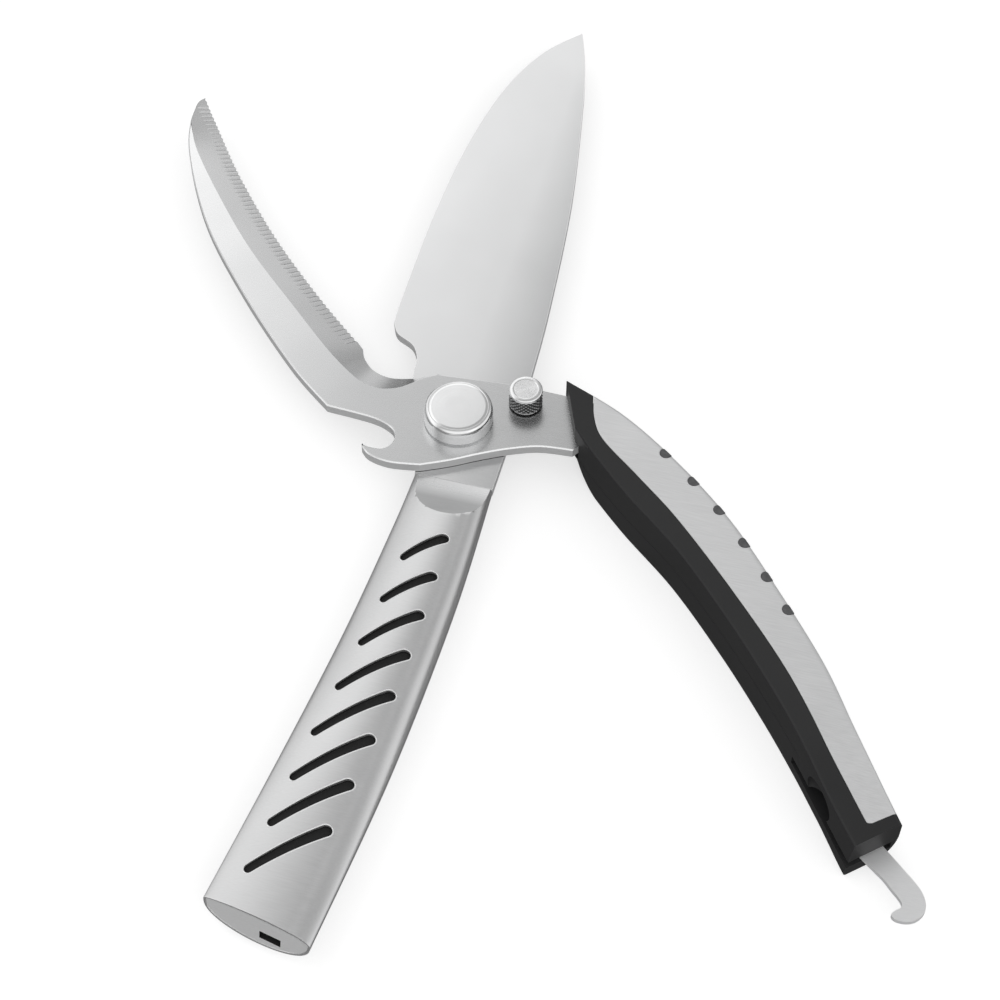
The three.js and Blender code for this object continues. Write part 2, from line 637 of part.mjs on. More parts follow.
function handleLowerShell() {
  const floor = prism([[0, 40], [140, 40], [140, -110], [0, -110]], -5, 1.8);
  const shell = cut(gripUnderCover.intersect(belowParting(-0.1)), cut(cavity, floor));
  const bosses = screwPlaces.flatMap((place, i) => [
    rod(place, 1.2, 5, 3.8, 20), rod(place, 4, i < 2 ? PLATE_BOTTOM - RUNNING : 9.2, 2.9, 20)]);
  const frontBlock = prism(tangRegion(-0.1), 5.7, PLATE_BOTTOM - RUNNING)
    .intersect(gripSlab(0.004, 0.06, 1.5, (u) => widthAt(u) - 1.5, 4, 12));
  return cut(
    union(shell, ...bosses, frontBlock),
    ...screwPlaces.map((place) => rod(place, -1, 12, 1.7, 20)),
    ...screwPlaces.map((place) => rod(place, -1, 3.2, 3, 24)),
    latchPocket(), fingerDimple(), ...studRecess,
    rod(LATCH_PIVOT, 1.4, 10, LATCH_PIN_R + 0.05, 20),
  );
}

function handleScrew(place) {
  const profile = [[0, 0.5], [2.6, 0.5], [2.8, 0.8], [2.8, 1.6], [1.5, 3], [1.3, 3], [1.3, 12.4], [0, 12.9]];
  const body = turned(place, profile, 16);
  const cross = [0, 90].map((turn) => prism([[-1.5, -0.3], [1.5, -0.3], [1.5, 0.3], [-1.5, 0.3]], 0, 1.5)
    .rotate(0, 0, turn + 20).translate(place[0], place[1], 0));
  return cut(body, ...cross);
}

const cuttingArm = new THREE.Group();
shears.add(cuttingArm);
add('cutting_blade', cuttingBlade(), satinPlate, cuttingArm);
add('handle_upper_shell', handleUpperShell(), blackPlastic, cuttingArm);
add('handle_lower_shell', handleLowerShell(), blackPlastic, cuttingArm);
add('handle_cover', handleCover(), silverPaint, cuttingArm);
studStations.forEach((u, i) => add(`grip_stud_${i + 1}`, gripStud(u), rubber, cuttingArm));
['front', 'middle', 'rear'].forEach((place, i) => {
  add(`handle_screw_${place}`, handleScrew(screwPlaces[i]), springSteel, cuttingArm);
});
const latchPin = turned(LATCH_PIVOT, [[0, 1.5], [LATCH_PIN_R, 1.5], [LATCH_PIN_R, 10.3], [0, 10.3]], 24);
add('latch_pin', latchPin, springSteel, cuttingArm);

// ---------------------------------------------------------------- lock plunger in the plate

const BARREL_TOP = 14.2;
const COLLAR_Z = [9.1, 9.6];

function plungerBarrel() {
  const bottom = PLATE_BOTTOM + 0.1;
  return turned(PLUNGER, [[1.9, bottom], [BARREL_R, bottom], [BARREL_R, PLATE_TOP + 0.05], [2.7, PLATE_TOP + 0.05],
    [2.7, PLATE_TOP + 0.6], [BARREL_R, PLATE_TOP + 0.6], [BARREL_R, BARREL_TOP], [1, BARREL_TOP],
    [1, BARREL_TOP - 0.8], [1.9, BARREL_TOP - 0.8], [1.9, bottom]], 20);
}

function plungerPin() {
  const nose = PLUNGER_NOSE_R;
  return turned(PLUNGER, [[0, 6.8], [nose - 0.25, 6.8], [nose, 7.05], [nose, COLLAR_Z[0]], [1.75, COLLAR_Z[0]],
    [1.75, COLLAR_Z[1]], [0.8, COLLAR_Z[1]], [0.8, 16], [0, 16]], 12);
}

function plungerSpring() {
  const [turns, wire, mean, low, high] = [4, 0.2, 1.28, COLLAR_Z[1] + 0.3, BARREL_TOP - 1.1];
  class Helix extends THREE.Curve {
    getPoint(t, target = new THREE.Vector3()) {
      const angle = 2 * Math.PI * turns * t;
      const [x, y] = [PLUNGER[0] + mean * Math.cos(angle), PLUNGER[1] + mean * Math.sin(angle)];
      return target.set(x, y, lerp(low, high, t));
    }
  }
  const section = new THREE.Shape(vec([0, 1, 2, 3].map((k) => [
    wire * Math.cos(Math.PI * k / 2), wire * Math.sin(Math.PI * k / 2)])));
  return solid(new THREE.ExtrudeGeometry(section, { steps: 40, bevelEnabled: false, extrudePath: new Helix() }));
}

function lockKnob() {
  const bottom = PLATE_TOP + 0.35;
  const body = turned(PLUNGER, [[0, bottom], [KNOB_R - 0.35, bottom], [KNOB_R, bottom + 0.35],
    [KNOB_R, KNOB_TOP - 0.9], [KNOB_R - 0.6, KNOB_TOP - 0.15], [KNOB_R - 1, KNOB_TOP], [0, KNOB_TOP]]);
  return cut(body, rod(PLUNGER, 0, BARREL_TOP + 0.4, 2.95, 20), rod(PLUNGER, 0, 16.05, 0.85, 12));
}

const plunger = new THREE.Group();
shears.add(plunger);
add('plunger_barrel', plungerBarrel(), polished, cuttingArm);
add('plunger_spring', plungerSpring(), springSteel, cuttingArm);
add('lock_knob', lockKnob(), polished, plunger);
add('plunger_pin', plungerPin(), springSteel, plunger);

// ---------------------------------------------------------------- latch

function latchHook() {
  const outer = [[110, -78.6], [112.6, -77.8], [115, -79.8], [118.1, -82.6], [122.7, -86.4], [126.8, -90],
    [128.5, -92.8], [128.7, -94.9], [127.9, -96.6], [126.6, -97.8], [124.8, -98.4], [122.9, -98.3]];
  const inner = [[122, -97.4], [122.6, -96.4], [123.6, -95.4], [123.7, -94.4], [122.9, -93.3], [121, -91.6],
    [119.1, -89.8], [116.9, -88.2], [113.5, -85.7], [110.6, -83], [109.3, -80.8]];
  const outline = spline([...outer, ...inner, outer[0]], 56).slice(1);
  return cut(prism(outline, ...LATCH_Z), rod(LATCH_PIVOT, 0, 20, LATCH_PIN_R + 0.1, 24));
}

add('latch_hook', latchHook(), satinPlate);

export default shears;
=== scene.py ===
"""Looks of the poultry shears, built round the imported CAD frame.

Lengths are millimetres until a piece is finished, when it is scaled to metres.
"""

import math

import bmesh
import bpy
from mathutils import Matrix, Vector


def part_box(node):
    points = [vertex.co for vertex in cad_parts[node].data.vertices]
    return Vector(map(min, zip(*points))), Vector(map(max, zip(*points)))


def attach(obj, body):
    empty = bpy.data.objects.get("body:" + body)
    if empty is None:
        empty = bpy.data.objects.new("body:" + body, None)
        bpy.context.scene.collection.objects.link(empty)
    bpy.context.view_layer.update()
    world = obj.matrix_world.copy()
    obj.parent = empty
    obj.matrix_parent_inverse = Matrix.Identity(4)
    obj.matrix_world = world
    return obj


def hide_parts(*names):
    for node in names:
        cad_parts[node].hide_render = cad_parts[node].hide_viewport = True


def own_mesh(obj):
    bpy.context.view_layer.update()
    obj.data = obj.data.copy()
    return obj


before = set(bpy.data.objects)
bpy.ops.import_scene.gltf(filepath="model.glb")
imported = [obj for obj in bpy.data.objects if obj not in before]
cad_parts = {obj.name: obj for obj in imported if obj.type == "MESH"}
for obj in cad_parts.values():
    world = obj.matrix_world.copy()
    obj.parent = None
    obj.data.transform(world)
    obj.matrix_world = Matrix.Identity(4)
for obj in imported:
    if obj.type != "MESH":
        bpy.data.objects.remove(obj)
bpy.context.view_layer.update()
MM = 0.001


# ---------------------------------------------------------------- sizes from the frame

def box_mm(node):
    low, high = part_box(node)
    return low / MM, high / MM


def centre_mm(node):
    low, high = box_mm(node)
    return tuple((low.xy + high.xy) / 2)


def levels(node):
    low, high = box_mm(node)
    return low.z, high.z


def radius_mm(node):
    low, high = box_mm(node)
    return (high.x - low.x) / 2


KNIFE_BOTTOM, KNIFE_TOP = levels("knife_blade")
PLATE_BOTTOM, PLATE_TOP = levels("cutting_blade")
BOLT_BOTTOM, HEAD_TOP = levels("pivot_bolt")
KNOB_BOTTOM, KNOB_TOP = levels("lock_knob")
KNOB_R = radius_mm("lock_knob")
HEAD_R = radius_mm("pivot_bolt")
PLUNGER = centre_mm("plunger_pin")
LATCH_PIVOT = centre_mm("latch_pin")
LATCH_Z = levels("latch_hook")
HANDLE_HEIGHT = levels("handle_cover")[1]
HANDLE_END_HEIGHT = 13
TIP_Y = box_mm("knife_blade")[1].y

NECK_Y = -16                # front end of the knife arm's handle
BUTT_LEFT = (-17.6, -133)   # the two ends of its slanted butt
BUTT_RIGHT = (7.9, -138.2)
BUTT_LEAN = 0.3             # how far the butt leans forward, per unit of height
CHORD_Z = 7.5               # height at which that handle is widest
SHELL = 0.9                 # thickness of its sheet
CAP = 1.4                   # thickness of the end cap
COVER = 0.9                 # thickness of the silver cover
LAND = 0.3                  # what both grinds leave at the cutting edges
PIVOT_HOLE_R = 3.6
BARREL_R = 2.4


# ---------------------------------------------------------------- curves

def lerp(a, b, t):
    return a + (b - a) * t


def smooth(x, low, high):
    t = min(max((x - low) / (high - low), 0), 1)
    return t * t * (3 - 2 * t)


def curve_point(points, t):
    """A point of the uniform Catmull-Rom curve through the points."""
    p = (len(points) - 1) * t
    i = min(int(math.floor(p)), len(points) - 1)
    w = p - i
    p0 = points[max(i - 1, 0)]
    p1 = points[i]
    p2 = points[min(i + 1, len(points) - 1)]
    p3 = points[min(i + 2, len(points) - 1)]
    out = []
    for a, b, c, d in zip(p0, p1, p2, p3):
        v0, v1 = (c - a) / 2, (d - b) / 2
        out.append((2 * b - 2 * c + v0 + v1) * w ** 3 + (-3 * b + 3 * c - 2 * v0 - v1) * w * w + v0 * w + b)
    return tuple(out)


def around(centre, radius, angle):
    """A point of a circle, or of an ellipse whose two radii are given."""
    across_r, up_r = radius if isinstance(radius, tuple) else (radius, radius)
    return (centre[0] + across_r * math.cos(angle), centre[1] + up_r * math.sin(angle))


def circle(centre, radius, segments):
    return [around(centre, radius, 2 * math.pi * k / segments) for k in range(segments)]


def spline(points, steps):
    return [curve_point(points, i / steps) for i in range(steps + 1)]


def tangent(points, t):
    a = Vector(curve_point(points, max(t - 1e-4, 0)))
    b = Vector(curve_point(points, min(t + 1e-4, 1)))
    return (b - a).normalized()


def spaced(points, count):
    """count + 1 points of the curve at equal distances along it."""
    fine = spline(points, 2000)
    along = [0.0]
    for a, b in zip(fine, fine[1:]):
        along.append(along[-1] + math.dist(a, b))
    result, j = [], 0
    for i in range(count + 1):
        target = along[-1] * i / count
        while j < len(along) - 2 and along[j + 1] < target:
            j += 1
        t = (target - along[j]) / (along[j + 1] - along[j])
        result.append(tuple(lerp(a, b, t) for a, b in zip(fine[j], fine[j + 1])))
    return result


def length_of(points):
    return sum(math.dist(a, b) for a, b in zip(points, points[1:]))


def x_at(points, y):
    for a, b in zip(points, points[1:]):
        if (a[1] - y) * (b[1] - y) <= 0 and a[1] != b[1]:
            return lerp(a[0], b[0], (y - a[1]) / (b[1] - a[1]))
    return points[0][0] if abs(y - points[0][1]) < abs(y - points[-1][1]) else points[-1][0]


def signed_area(points):
    return sum(a[0] * b[1] - b[0] * a[1] for a, b in zip(points, points[1:] + points[:1])) / 2


def offset(points, distance):
    sign = 1 if signed_area(points) > 0 else -1
    out = []
    for i, p in enumerate(points):
        before, after = points[i - 1], points[(i + 1) % len(points)]
        way = Vector((after[0] - before[0], after[1] - before[1])).normalized()
        out.append((p[0] + sign * distance * way.y, p[1] - sign * distance * way.x))
    return out


# ---------------------------------------------------------------- meshes

def mesh_object(verts, faces):
    mesh = bpy.data.meshes.new("shape")
    mesh.from_pydata([tuple(v) for v in verts], [], faces)
    work = bmesh.new()
    work.from_mesh(mesh)
    bmesh.ops.remove_doubles(work, verts=work.verts, dist=1e-5)
    bmesh.ops.recalc_face_normals(work, faces=work.faces)
    work.to_mesh(mesh)
    work.free()
    obj = bpy.data.objects.new("shape", mesh)
    bpy.context.scene.collection.objects.link(obj)
    return obj


def loft(sections, close=False):
    """Closed sections of equal point counts, joined in order; the ends are capped, or joined in a ring."""
    count = len(sections[0])
    verts = [p for section in sections for p in section]
    faces = []
    rows = len(sections)
    for i in range(rows if close else rows - 1):
        for k in range(count):
            a, b = i * count + k, i * count + (k + 1) % count
            c, d = ((i + 1) % rows) * count + (k + 1) % count, ((i + 1) % rows) * count + k
            faces.append((a, b, c, d))
    if not close:
        faces.append(tuple(range(count)))
        faces.append(tuple(range((rows - 1) * count, rows * count)))
    return mesh_object(verts, faces)


def prism(points, z0, z1):
    return loft([[(x, y, z0) for x, y in points], [(x, y, z1) for x, y in points]])


def bar(centre, half_x, half_y, z0, z1):
    x, y = centre
    return prism([(x - half_x, y - half_y), (x + half_x, y - half_y), (x + half_x, y + half_y),
                  (x - half_x, y + half_y)], z0, z1)


def rod(centre, z0, z1, radius, segments=64):
    return prism(circle(centre, radius, segments), z0, z1)


def turned(centre, profile, segments=96, rounding=0.0):
    """A turned piece. Profile points are (radius, z); corners may be rounded a little."""
    if rounding:
        profile = rounded(profile, rounding)
    closed = profile[0] == profile[-1]
    rings = profile[:-1] if closed else profile
    verts, faces, rows = [], [], []
    for r, z in rings:
        if r < 1e-6:
            rows.append([len(verts)])
            verts.append((centre[0], centre[1], z))
        else:
            rows.append(list(range(len(verts), len(verts) + segments)))
            verts += [(x, y, z) for x, y in circle(centre, r, segments)]
    pairs = list(zip(rows, rows[1:]))
    if closed:
        pairs.append((rows[-1], rows[0]))
    for a, b in pairs:
        for k in range(segments):
            n = (k + 1) % segments
            corners = [a[k % len(a)], a[n % len(a)], b[n % len(b)], b[k % len(b)]]
            unique = list(dict.fromkeys(corners))
            if len(unique) > 2:
                faces.append(tuple(unique))
    return mesh_object(verts, faces)


def rounded(profile, radius):
    """Replaces each sharp corner of a profile by three points."""
    closed = profile[0] == profile[-1]
    points = profile[:-1] if closed else profile
    out = []
    for i, p in enumerate(points):
        if not closed and i in (0, len(points) - 1):
            out.append(p)
            continue
        here = Vector(p)
        before, after = Vector(points[i - 1]), Vector(points[(i + 1) % len(points)])
        reach = min(radius, (before - here).length * 0.4, (after - here).length * 0.4)
        a = here + (before - here).normalized() * reach
        b = here + (after - here).normalized() * reach
        out += [tuple(a), tuple(a * 0.25 + here * 0.5 + b * 0.25), tuple(b)]
    return out + [out[0]] if closed else out


def tube(path, radius, sides=8, closed=True):
    """A round tube along a list of points."""
    sections = []
    count = len(path)
    up = Vector((0, 0, 1))
    for i, p in enumerate(path):
        a = Vector(path[i - 1] if closed or i else path[0])
        b = Vector(path[(i + 1) % count] if closed or i + 1 < count else path[-1])
        way = (b - a).normalized()
        side = way.cross(up).normalized()
        top = side.cross(way)
        sections.append([tuple(Vector(p) + radius * (math.cos(t) * side + math.sin(t) * top))
                         for t in (2 * math.pi * k / sides for k in range(sides))])
    return loft(sections, close=closed)


def apply_modifiers(obj):
    bpy.context.view_layer.update()
    graph = bpy.context.evaluated_depsgraph_get()
    mesh = bpy.data.meshes.new_from_object(obj.evaluated_get(graph), depsgraph=graph)
    obj.modifiers.clear()
    old = obj.data
    obj.data = mesh
    bpy.data.meshes.remove(old)
    return obj


def discard(obj):
    mesh = obj.data
    bpy.data.objects.remove(obj)
    bpy.data.meshes.remove(mesh)


def combine(operation, target, others):
    for other in others:
        modifier = target.modifiers.new("join", "BOOLEAN")
        modifier.operation = operation
        modifier.solver = "MANIFOLD"
        modifier.object = other
        apply_modifiers(target)
        discard(other)
    return target


def cut(target, *others):
    return combine("DIFFERENCE", target, others)


def union(target, *others):
    return combine("UNION", target, others)


def common(target, *others):
    return combine("INTERSECT", target, others)


def copy(obj):
    twin = bpy.data.objects.new("shape", obj.data.copy())
    bpy.context.scene.collection.objects.link(twin)
    return twin


def joined(objects):
    """Several separate closed meshes as one object."""
    work = bmesh.new()
    for obj in objects:
        work.from_mesh(obj.data)
    mesh = bpy.data.meshes.new("shape")
    work.to_mesh(mesh)
    work.free()
    for obj in objects:
        discard(obj)
    result = bpy.data.objects.new("shape", mesh)
    bpy.context.scene.collection.objects.link(result)
    return result


def bevel(obj, width, segments=2, angle=40, where=None, clamp=True):
    """Rounds the edges sharper than angle whose two ends pass the test."""
    work = bmesh.new()
    work.from_mesh(obj.data)
    bmesh.ops.dissolve_degenerate(work, dist=1e-4, edges=work.edges)
    layers, weight = work.edges.layers.float, "bevel_weight_edge"
    layer = layers.get(weight) or layers.new(weight)
    for edge in work.edges:
        sharp = edge.is_manifold and edge.calc_face_angle(0) > math.radians(angle)
        chosen = sharp and (where is None or all(where(v.co) for v in edge.verts))
        edge[layer] = 1.0 if chosen else 0.0
    work.to_mesh(obj.data)
    work.free()
    modifier = obj.modifiers.new("edges", "BEVEL")
    modifier.width = width
    modifier.segments = segments
    modifier.limit_method = "WEIGHT"
    modifier.harden_normals = False
    modifier.use_clamp_overlap = clamp
    return apply_modifiers(obj)


def piece(obj, node, body, material, replaced=None, crease=28):
    """Scales a finished shape to metres and hands it over as the piece that stands for a CAD node."""
    obj.name = node + "_surface"
    obj.data.name = obj.name
    obj.data.transform(Matrix.Scale(MM, 4))
    obj.data.materials.clear()
    obj.data.materials.append(material)
    obj.data.shade_smooth()
    obj.data.set_sharp_from_angle(angle=math.radians(crease))
    modifier = obj.modifiers.new("normals", "WEIGHTED_NORMAL")
    modifier.keep_sharp = True
    modifier.weight = 80
    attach(obj, body)
    for name in replaced or [node]:
        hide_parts(name)
    return obj


def on_side(centre, normal):
    return abs(normal.z) < 0.3


def another_material(obj, material, test):
    """Gives another material to the faces whose centre (mm) and normal pass the test."""
    obj.data.materials.append(material)
    for polygon in obj.data.polygons:
        if test(polygon.center / MM, polygon.normal):
            polygon.material_index = len(obj.data.materials) - 1


# ---------------------------------------------------------------- materials

def grey(value, cool=0.003):
    """A grey with a trace of blue."""
    return (value, value + cool, value + 2 * cool)


class Nodes:
    """A material's node tree, with one call for each kind of node used."""

    def __init__(self, name):
        self.material = bpy.data.materials.new(name)
        self.material.use_nodes = True
        self.tree = self.material.node_tree
        self.tree.nodes.clear()
        self.shader = self.tree.nodes.new("ShaderNodeBsdfPrincipled")
        output = self.tree.nodes.new("ShaderNodeOutputMaterial")
        self.link(self.shader.outputs[0], output.inputs[0])
        self.place = self.tree.nodes.new("ShaderNodeTexCoord").outputs["Object"]

    def link(self, source, target):
        self.tree.links.new(source, target)

    def put(self, target, value):
        if isinstance(value, bpy.types.NodeSocket):
            self.link(value, target)
        elif value is not None:
            target.default_value = value

    def math(self, operation, a, b=None, clamp=False):
        node = self.tree.nodes.new("ShaderNodeMath")
        node.operation = operation
        node.use_clamp = clamp
        self.put(node.inputs[0], a)
        self.put(node.inputs[1], b)
        return node.outputs[0]

    def mapped(self, source, scale=(1, 1, 1), turn=(0, 0, 0), move=(0, 0, 0)):
        node = self.tree.nodes.new("ShaderNodeMapping")
        node.inputs["Location"].default_value = move
        node.inputs["Rotation"].default_value = turn
        node.inputs["Scale"].default_value = scale
        self.link(source, node.inputs["Vector"])
        return node.outputs[0]

    def noise(self, source, scale, detail=3.0, rough=0.55):
        node = self.tree.nodes.new("ShaderNodeTexNoise")
        node.inputs["Scale"].default_value = scale
        node.inputs["Detail"].default_value = detail
        node.inputs["Roughness"].default_value = rough
        self.link(source, node.inputs["Vector"])
        return node.outputs["Fac"]

    def voronoi(self, source, scale):
        node = self.tree.nodes.new("ShaderNodeTexVoronoi")
        node.inputs["Scale"].default_value = scale
        self.link(source, node.inputs["Vector"])
        return node.outputs["Distance"]

    def between(self, value, low, high, to_low, to_high):
        node = self.tree.nodes.new("ShaderNodeMapRange")
        for name, v in (("From Min", low), ("From Max", high), ("To Min", to_low), ("To Max", to_high)):
            self.put(node.inputs[name], v)
        self.link(value, node.inputs["Value"])
        return node.outputs[0]

    def shade(self, factor, dark, light):
        node = self.tree.nodes.new("ShaderNodeMix")
        node.data_type = "RGBA"
        self.put(node.inputs[0], factor)
        for target, tone in ((node.inputs[6], dark), (node.inputs[7], light)):
            self.put(target, tone if isinstance(tone, bpy.types.NodeSocket) else (*tone, 1))
        return node.outputs[2]

    def axes(self, source):
        node = self.tree.nodes.new("ShaderNodeSeparateXYZ")
        self.link(source, node.inputs[0])
        return node.outputs

    def from_axis(self, centre):
        """Distance from an upright axis, and the height."""
        x, y, z = self.axes(self.mapped(self.place, move=(-centre[0] * MM, -centre[1] * MM, 0)))
        squares = self.math("ADD", self.math("MULTIPLY", x, x), self.math("MULTIPLY", y, y))
        return self.math("SQRT", squares), z

    def blend(self, a, share, b, other_share):
        return self.math("ADD", self.math("MULTIPLY", a, share), self.math("MULTIPLY", b, other_share))

    def plus(self, a, b, share):
        return self.math("ADD", a, self.math("MULTIPLY", b, share))

    def bump(self, height, distance):
        node = self.tree.nodes.new("ShaderNodeBump")
        node.inputs["Strength"].default_value = 1.0
        node.inputs["Distance"].default_value = distance
        self.link(height, node.inputs["Height"])
        self.link(node.outputs[0], self.shader.inputs["Normal"])

    def set(self, **values):
        for name, value in values.items():
            self.put(self.shader.inputs[name.replace("_", " ")], value)
        return self.material


def worn(n, radius=0.0004):
    """1 on edges and corners, 0 on open faces."""
    node = n.tree.nodes.new("ShaderNodeBevel")
    node.samples = 4
    node.inputs["Radius"].default_value = radius
    flat = n.tree.nodes.new("ShaderNodeNewGeometry")
    dot = n.tree.nodes.new("ShaderNodeVectorMath")
    dot.operation = "DOT_PRODUCT"
    n.link(node.outputs[0], dot.inputs[0])
    n.link(flat.outputs["Normal"], dot.inputs[1])
    return n.between(dot.outputs["Value"], 0.995, 0.80, 0, 1)


def brushed_steel(name, dark, light, rough, turn=0.0, stretch=30.0, line=9000, depth=3e-6, patch=0.03,
                  metal=1.0, painted_light_grade=None):
    """Satin steel: fine parallel lines, a slow change in tone, and brighter worn edges.

    A painted light grade passes the colour to a second tone along one axis, from 0 at one place to 1 at another, as
    painted light and shade.
    """
    n = Nodes(name)
    lines = n.noise(n.mapped(n.place, (1 / stretch, 1, 1), (0, 0, turn)), line, 2, 0.5)
    fine = n.noise(n.place, 26000, 2, 0.6)
    slow = n.noise(n.place, 38, 3, 0.5)
    tone = n.blend(lines, 0.45, slow, 0.55)
    edge = worn(n)
    grain = n.between(tone, 0.35, 0.65, 0, 1)
    colour = n.shade(grain, dark, light)
    roughness = n.between(lines, 0.3, 0.7, rough - patch, rough + patch)
    # painted light and shade: colour and roughness pass to a second tone along one axis
    if painted_light_grade:
        axis, start, end, far_dark, far_light, far_rough = painted_light_grade
        share = n.between(n.axes(n.place)[axis], start, end, 0, 1)
        colour = n.shade(share, colour, n.shade(grain, far_dark, far_light))
        roughness = n.plus(roughness, share, far_rough - rough)
    lifted = n.shade(edge, colour, [min(v * 1.16, 0.97) for v in light])
    n.bump(n.plus(lines, fine, 0.3), depth)
    return n.set(Base_Color=lifted, Roughness=n.plus(roughness, edge, -0.08), Metallic=metal)


def spun_steel(name, centre, dark, light, rough, ring=0.00028, depth=2e-6):
    """Turned and polished steel: rings about an upright axis."""
    n = Nodes(name)
    radius, z = n.from_axis(centre)
    waves = n.math("SINE", n.math("MULTIPLY", radius, 2 * math.pi / ring))
    joined_axes = n.tree.nodes.new("ShaderNodeCombineXYZ")
    n.link(radius, joined_axes.inputs[0])
    n.link(n.math("MULTIPLY", z, 0.5), joined_axes.inputs[1])
    streaks = n.noise(joined_axes.outputs[0], 7000, 3, 0.6)
    smear = n.noise(n.place, 260, 3, 0.6)
    tone = n.blend(streaks, 0.6, smear, 0.4)
    n.bump(n.plus(streaks, waves, 0.35), depth)
    return n.set(
        Base_Color=n.shade(n.between(tone, 0.3, 0.7, 0, 1), dark, light),
        Roughness=n.between(tone, 0.3, 0.7, rough + 0.04, rough - 0.03), Metallic=1.0)


def knurled_steel(name):
    """Bright worn peaks over grooves painted near-black as shade."""
    n = Nodes(name)
    radius, _ = n.from_axis(PLUNGER)
    peak = n.between(radius, (KNOB_R - 0.2) * MM, (KNOB_R - 0.01) * MM, 0, 1)
    fine = n.noise(n.place, 9000, 3, 0.6)
    n.bump(fine, 3e-6)
    tone = n.math("MULTIPLY", peak, n.between(fine, 0.2, 0.8, 0.8, 1.1), clamp=True)
    return n.set(Base_Color=n.shade(tone, (0.02, 0.02, 0.021), grey(0.62)), Metallic=1.0,
                 Roughness=n.between(peak, 0, 1, 0.5, 0.22))


def moulded_plastic(name, dark, light, rough, grain=2600, depth=9e-6):
    """Matte moulded nylon: spark-eroded grain, slightly polished where hands rub it."""
    n = Nodes(name)
    pebble = n.voronoi(n.place, grain)
    fine = n.noise(n.place, grain * 2.4, 3, 0.6)
    slow = n.noise(n.place, 30, 3, 0.5)
    edge = worn(n, 0.0005)
    tone = n.plus(n.between(slow, 0.35, 0.65, 0.1, 0.75), fine, 0.25)
    colour = n.shade(n.math("ADD", tone, n.math("MULTIPLY", edge, 0.5), clamp=True), dark, light)
    roughness = n.plus(n.between(slow, 0.35, 0.65, rough - 0.04, rough + 0.05), edge, -0.12)
    n.bump(n.plus(pebble, fine, 0.6), depth)
    return n.set(Base_Color=colour, Roughness=roughness, Metallic=0.0, Specular_IOR_Level=0.42)


def soft_rubber(name):
    """Dusty matte rubber."""
    n = Nodes(name)
    fine = n.noise(n.place, 5200, 4, 0.65)
    dust = n.noise(n.place, 900, 3, 0.6)
    n.bump(fine, 1.2e-5)
    colour = n.shade(n.between(dust, 0.35, 0.7, 0, 1), (0.075, 0.076, 0.078), (0.12, 0.121, 0.124))
    return n.set(Base_Color=colour, Roughness=n.between(fine, 0.3, 0.7, 0.58, 0.75))


def silver_skin(name):
    """Brushed silver facing with a clear satin coat."""
    n = Nodes(name)
    lines = n.noise(n.mapped(n.place, (1 / 26, 1, 1), (0, 0, math.radians(28))), 5200, 2, 0.5)
    slow = n.noise(n.place, 42, 3, 0.5)
    edge = worn(n, 0.0003)
    tone = n.blend(lines, 0.6, slow, 0.4)
    colour = n.shade(n.between(tone, 0.35, 0.65, 0, 1), grey(0.73), grey(0.82))
    n.bump(lines, 4e-6)
    return n.set(Base_Color=colour, Metallic=0.5, Coat_Weight=0.12, Coat_Roughness=0.35,
                 Roughness=n.plus(n.between(lines, 0.3, 0.7, 0.36, 0.46), edge, -0.1))


# painted shade: the knife steel is darker towards +x, from x = -2 mm to 13 mm
KNIFE_STEEL = brushed_steel("knife satin steel", grey(0.78), grey(0.84), 0.22,
                            turn=math.radians(4), stretch=22, line=7000, depth=1.5e-6,
                            painted_light_grade=(0, -0.002, 0.013, grey(0.60), grey(0.65), 0.22))
# painted light: the plate steel is brighter towards -x, from x = -25 mm to -90 mm
PLATE_STEEL = brushed_steel("plate satin steel", grey(0.62), grey(0.69), 0.26,
                            turn=math.radians(38), stretch=24, line=7000, depth=2e-6,
                            painted_light_grade=(0, -0.025, -0.09, grey(0.86), grey(0.93), 0.26))
# painted highlight: the plate chamfers get a much brighter steel than the plate
CHAMFER_HIGHLIGHT_STEEL = brushed_steel("chamfer painted highlight steel", grey(0.93), grey(0.97), 0.3, metal=0.55)
# sheared edges: a real rougher, less metallic finish, and a darker grey that is painted shade on the side walls
SHEARED_AND_SHADED_STEEL = brushed_steel("sheared edge steel with painted shade", grey(0.50, 0.002), grey(0.58, 0.002), 0.5,
                              turn=math.radians(90), stretch=8, line=9000, metal=0.35)
HANDLE_STEEL = brushed_steel("handle satin steel", grey(0.72, 0.002), grey(0.80, 0.002), 0.36,
                             turn=math.radians(90), stretch=40, line=6000, metal=0.9)
# painted shade: the scoop steel is a darker copy of the handle steel, brightening towards +y from y = -22 mm to -16
# mm
SCOOP_SHADE_STEEL = brushed_steel("scoop painted shade steel", grey(0.40, 0.002), grey(0.46, 0.002), 0.36,
                            turn=math.radians(4), stretch=22, line=7000, depth=1.5e-6,
                            painted_light_grade=(1, -0.022, -0.016, grey(0.76), grey(0.82), 0.22))
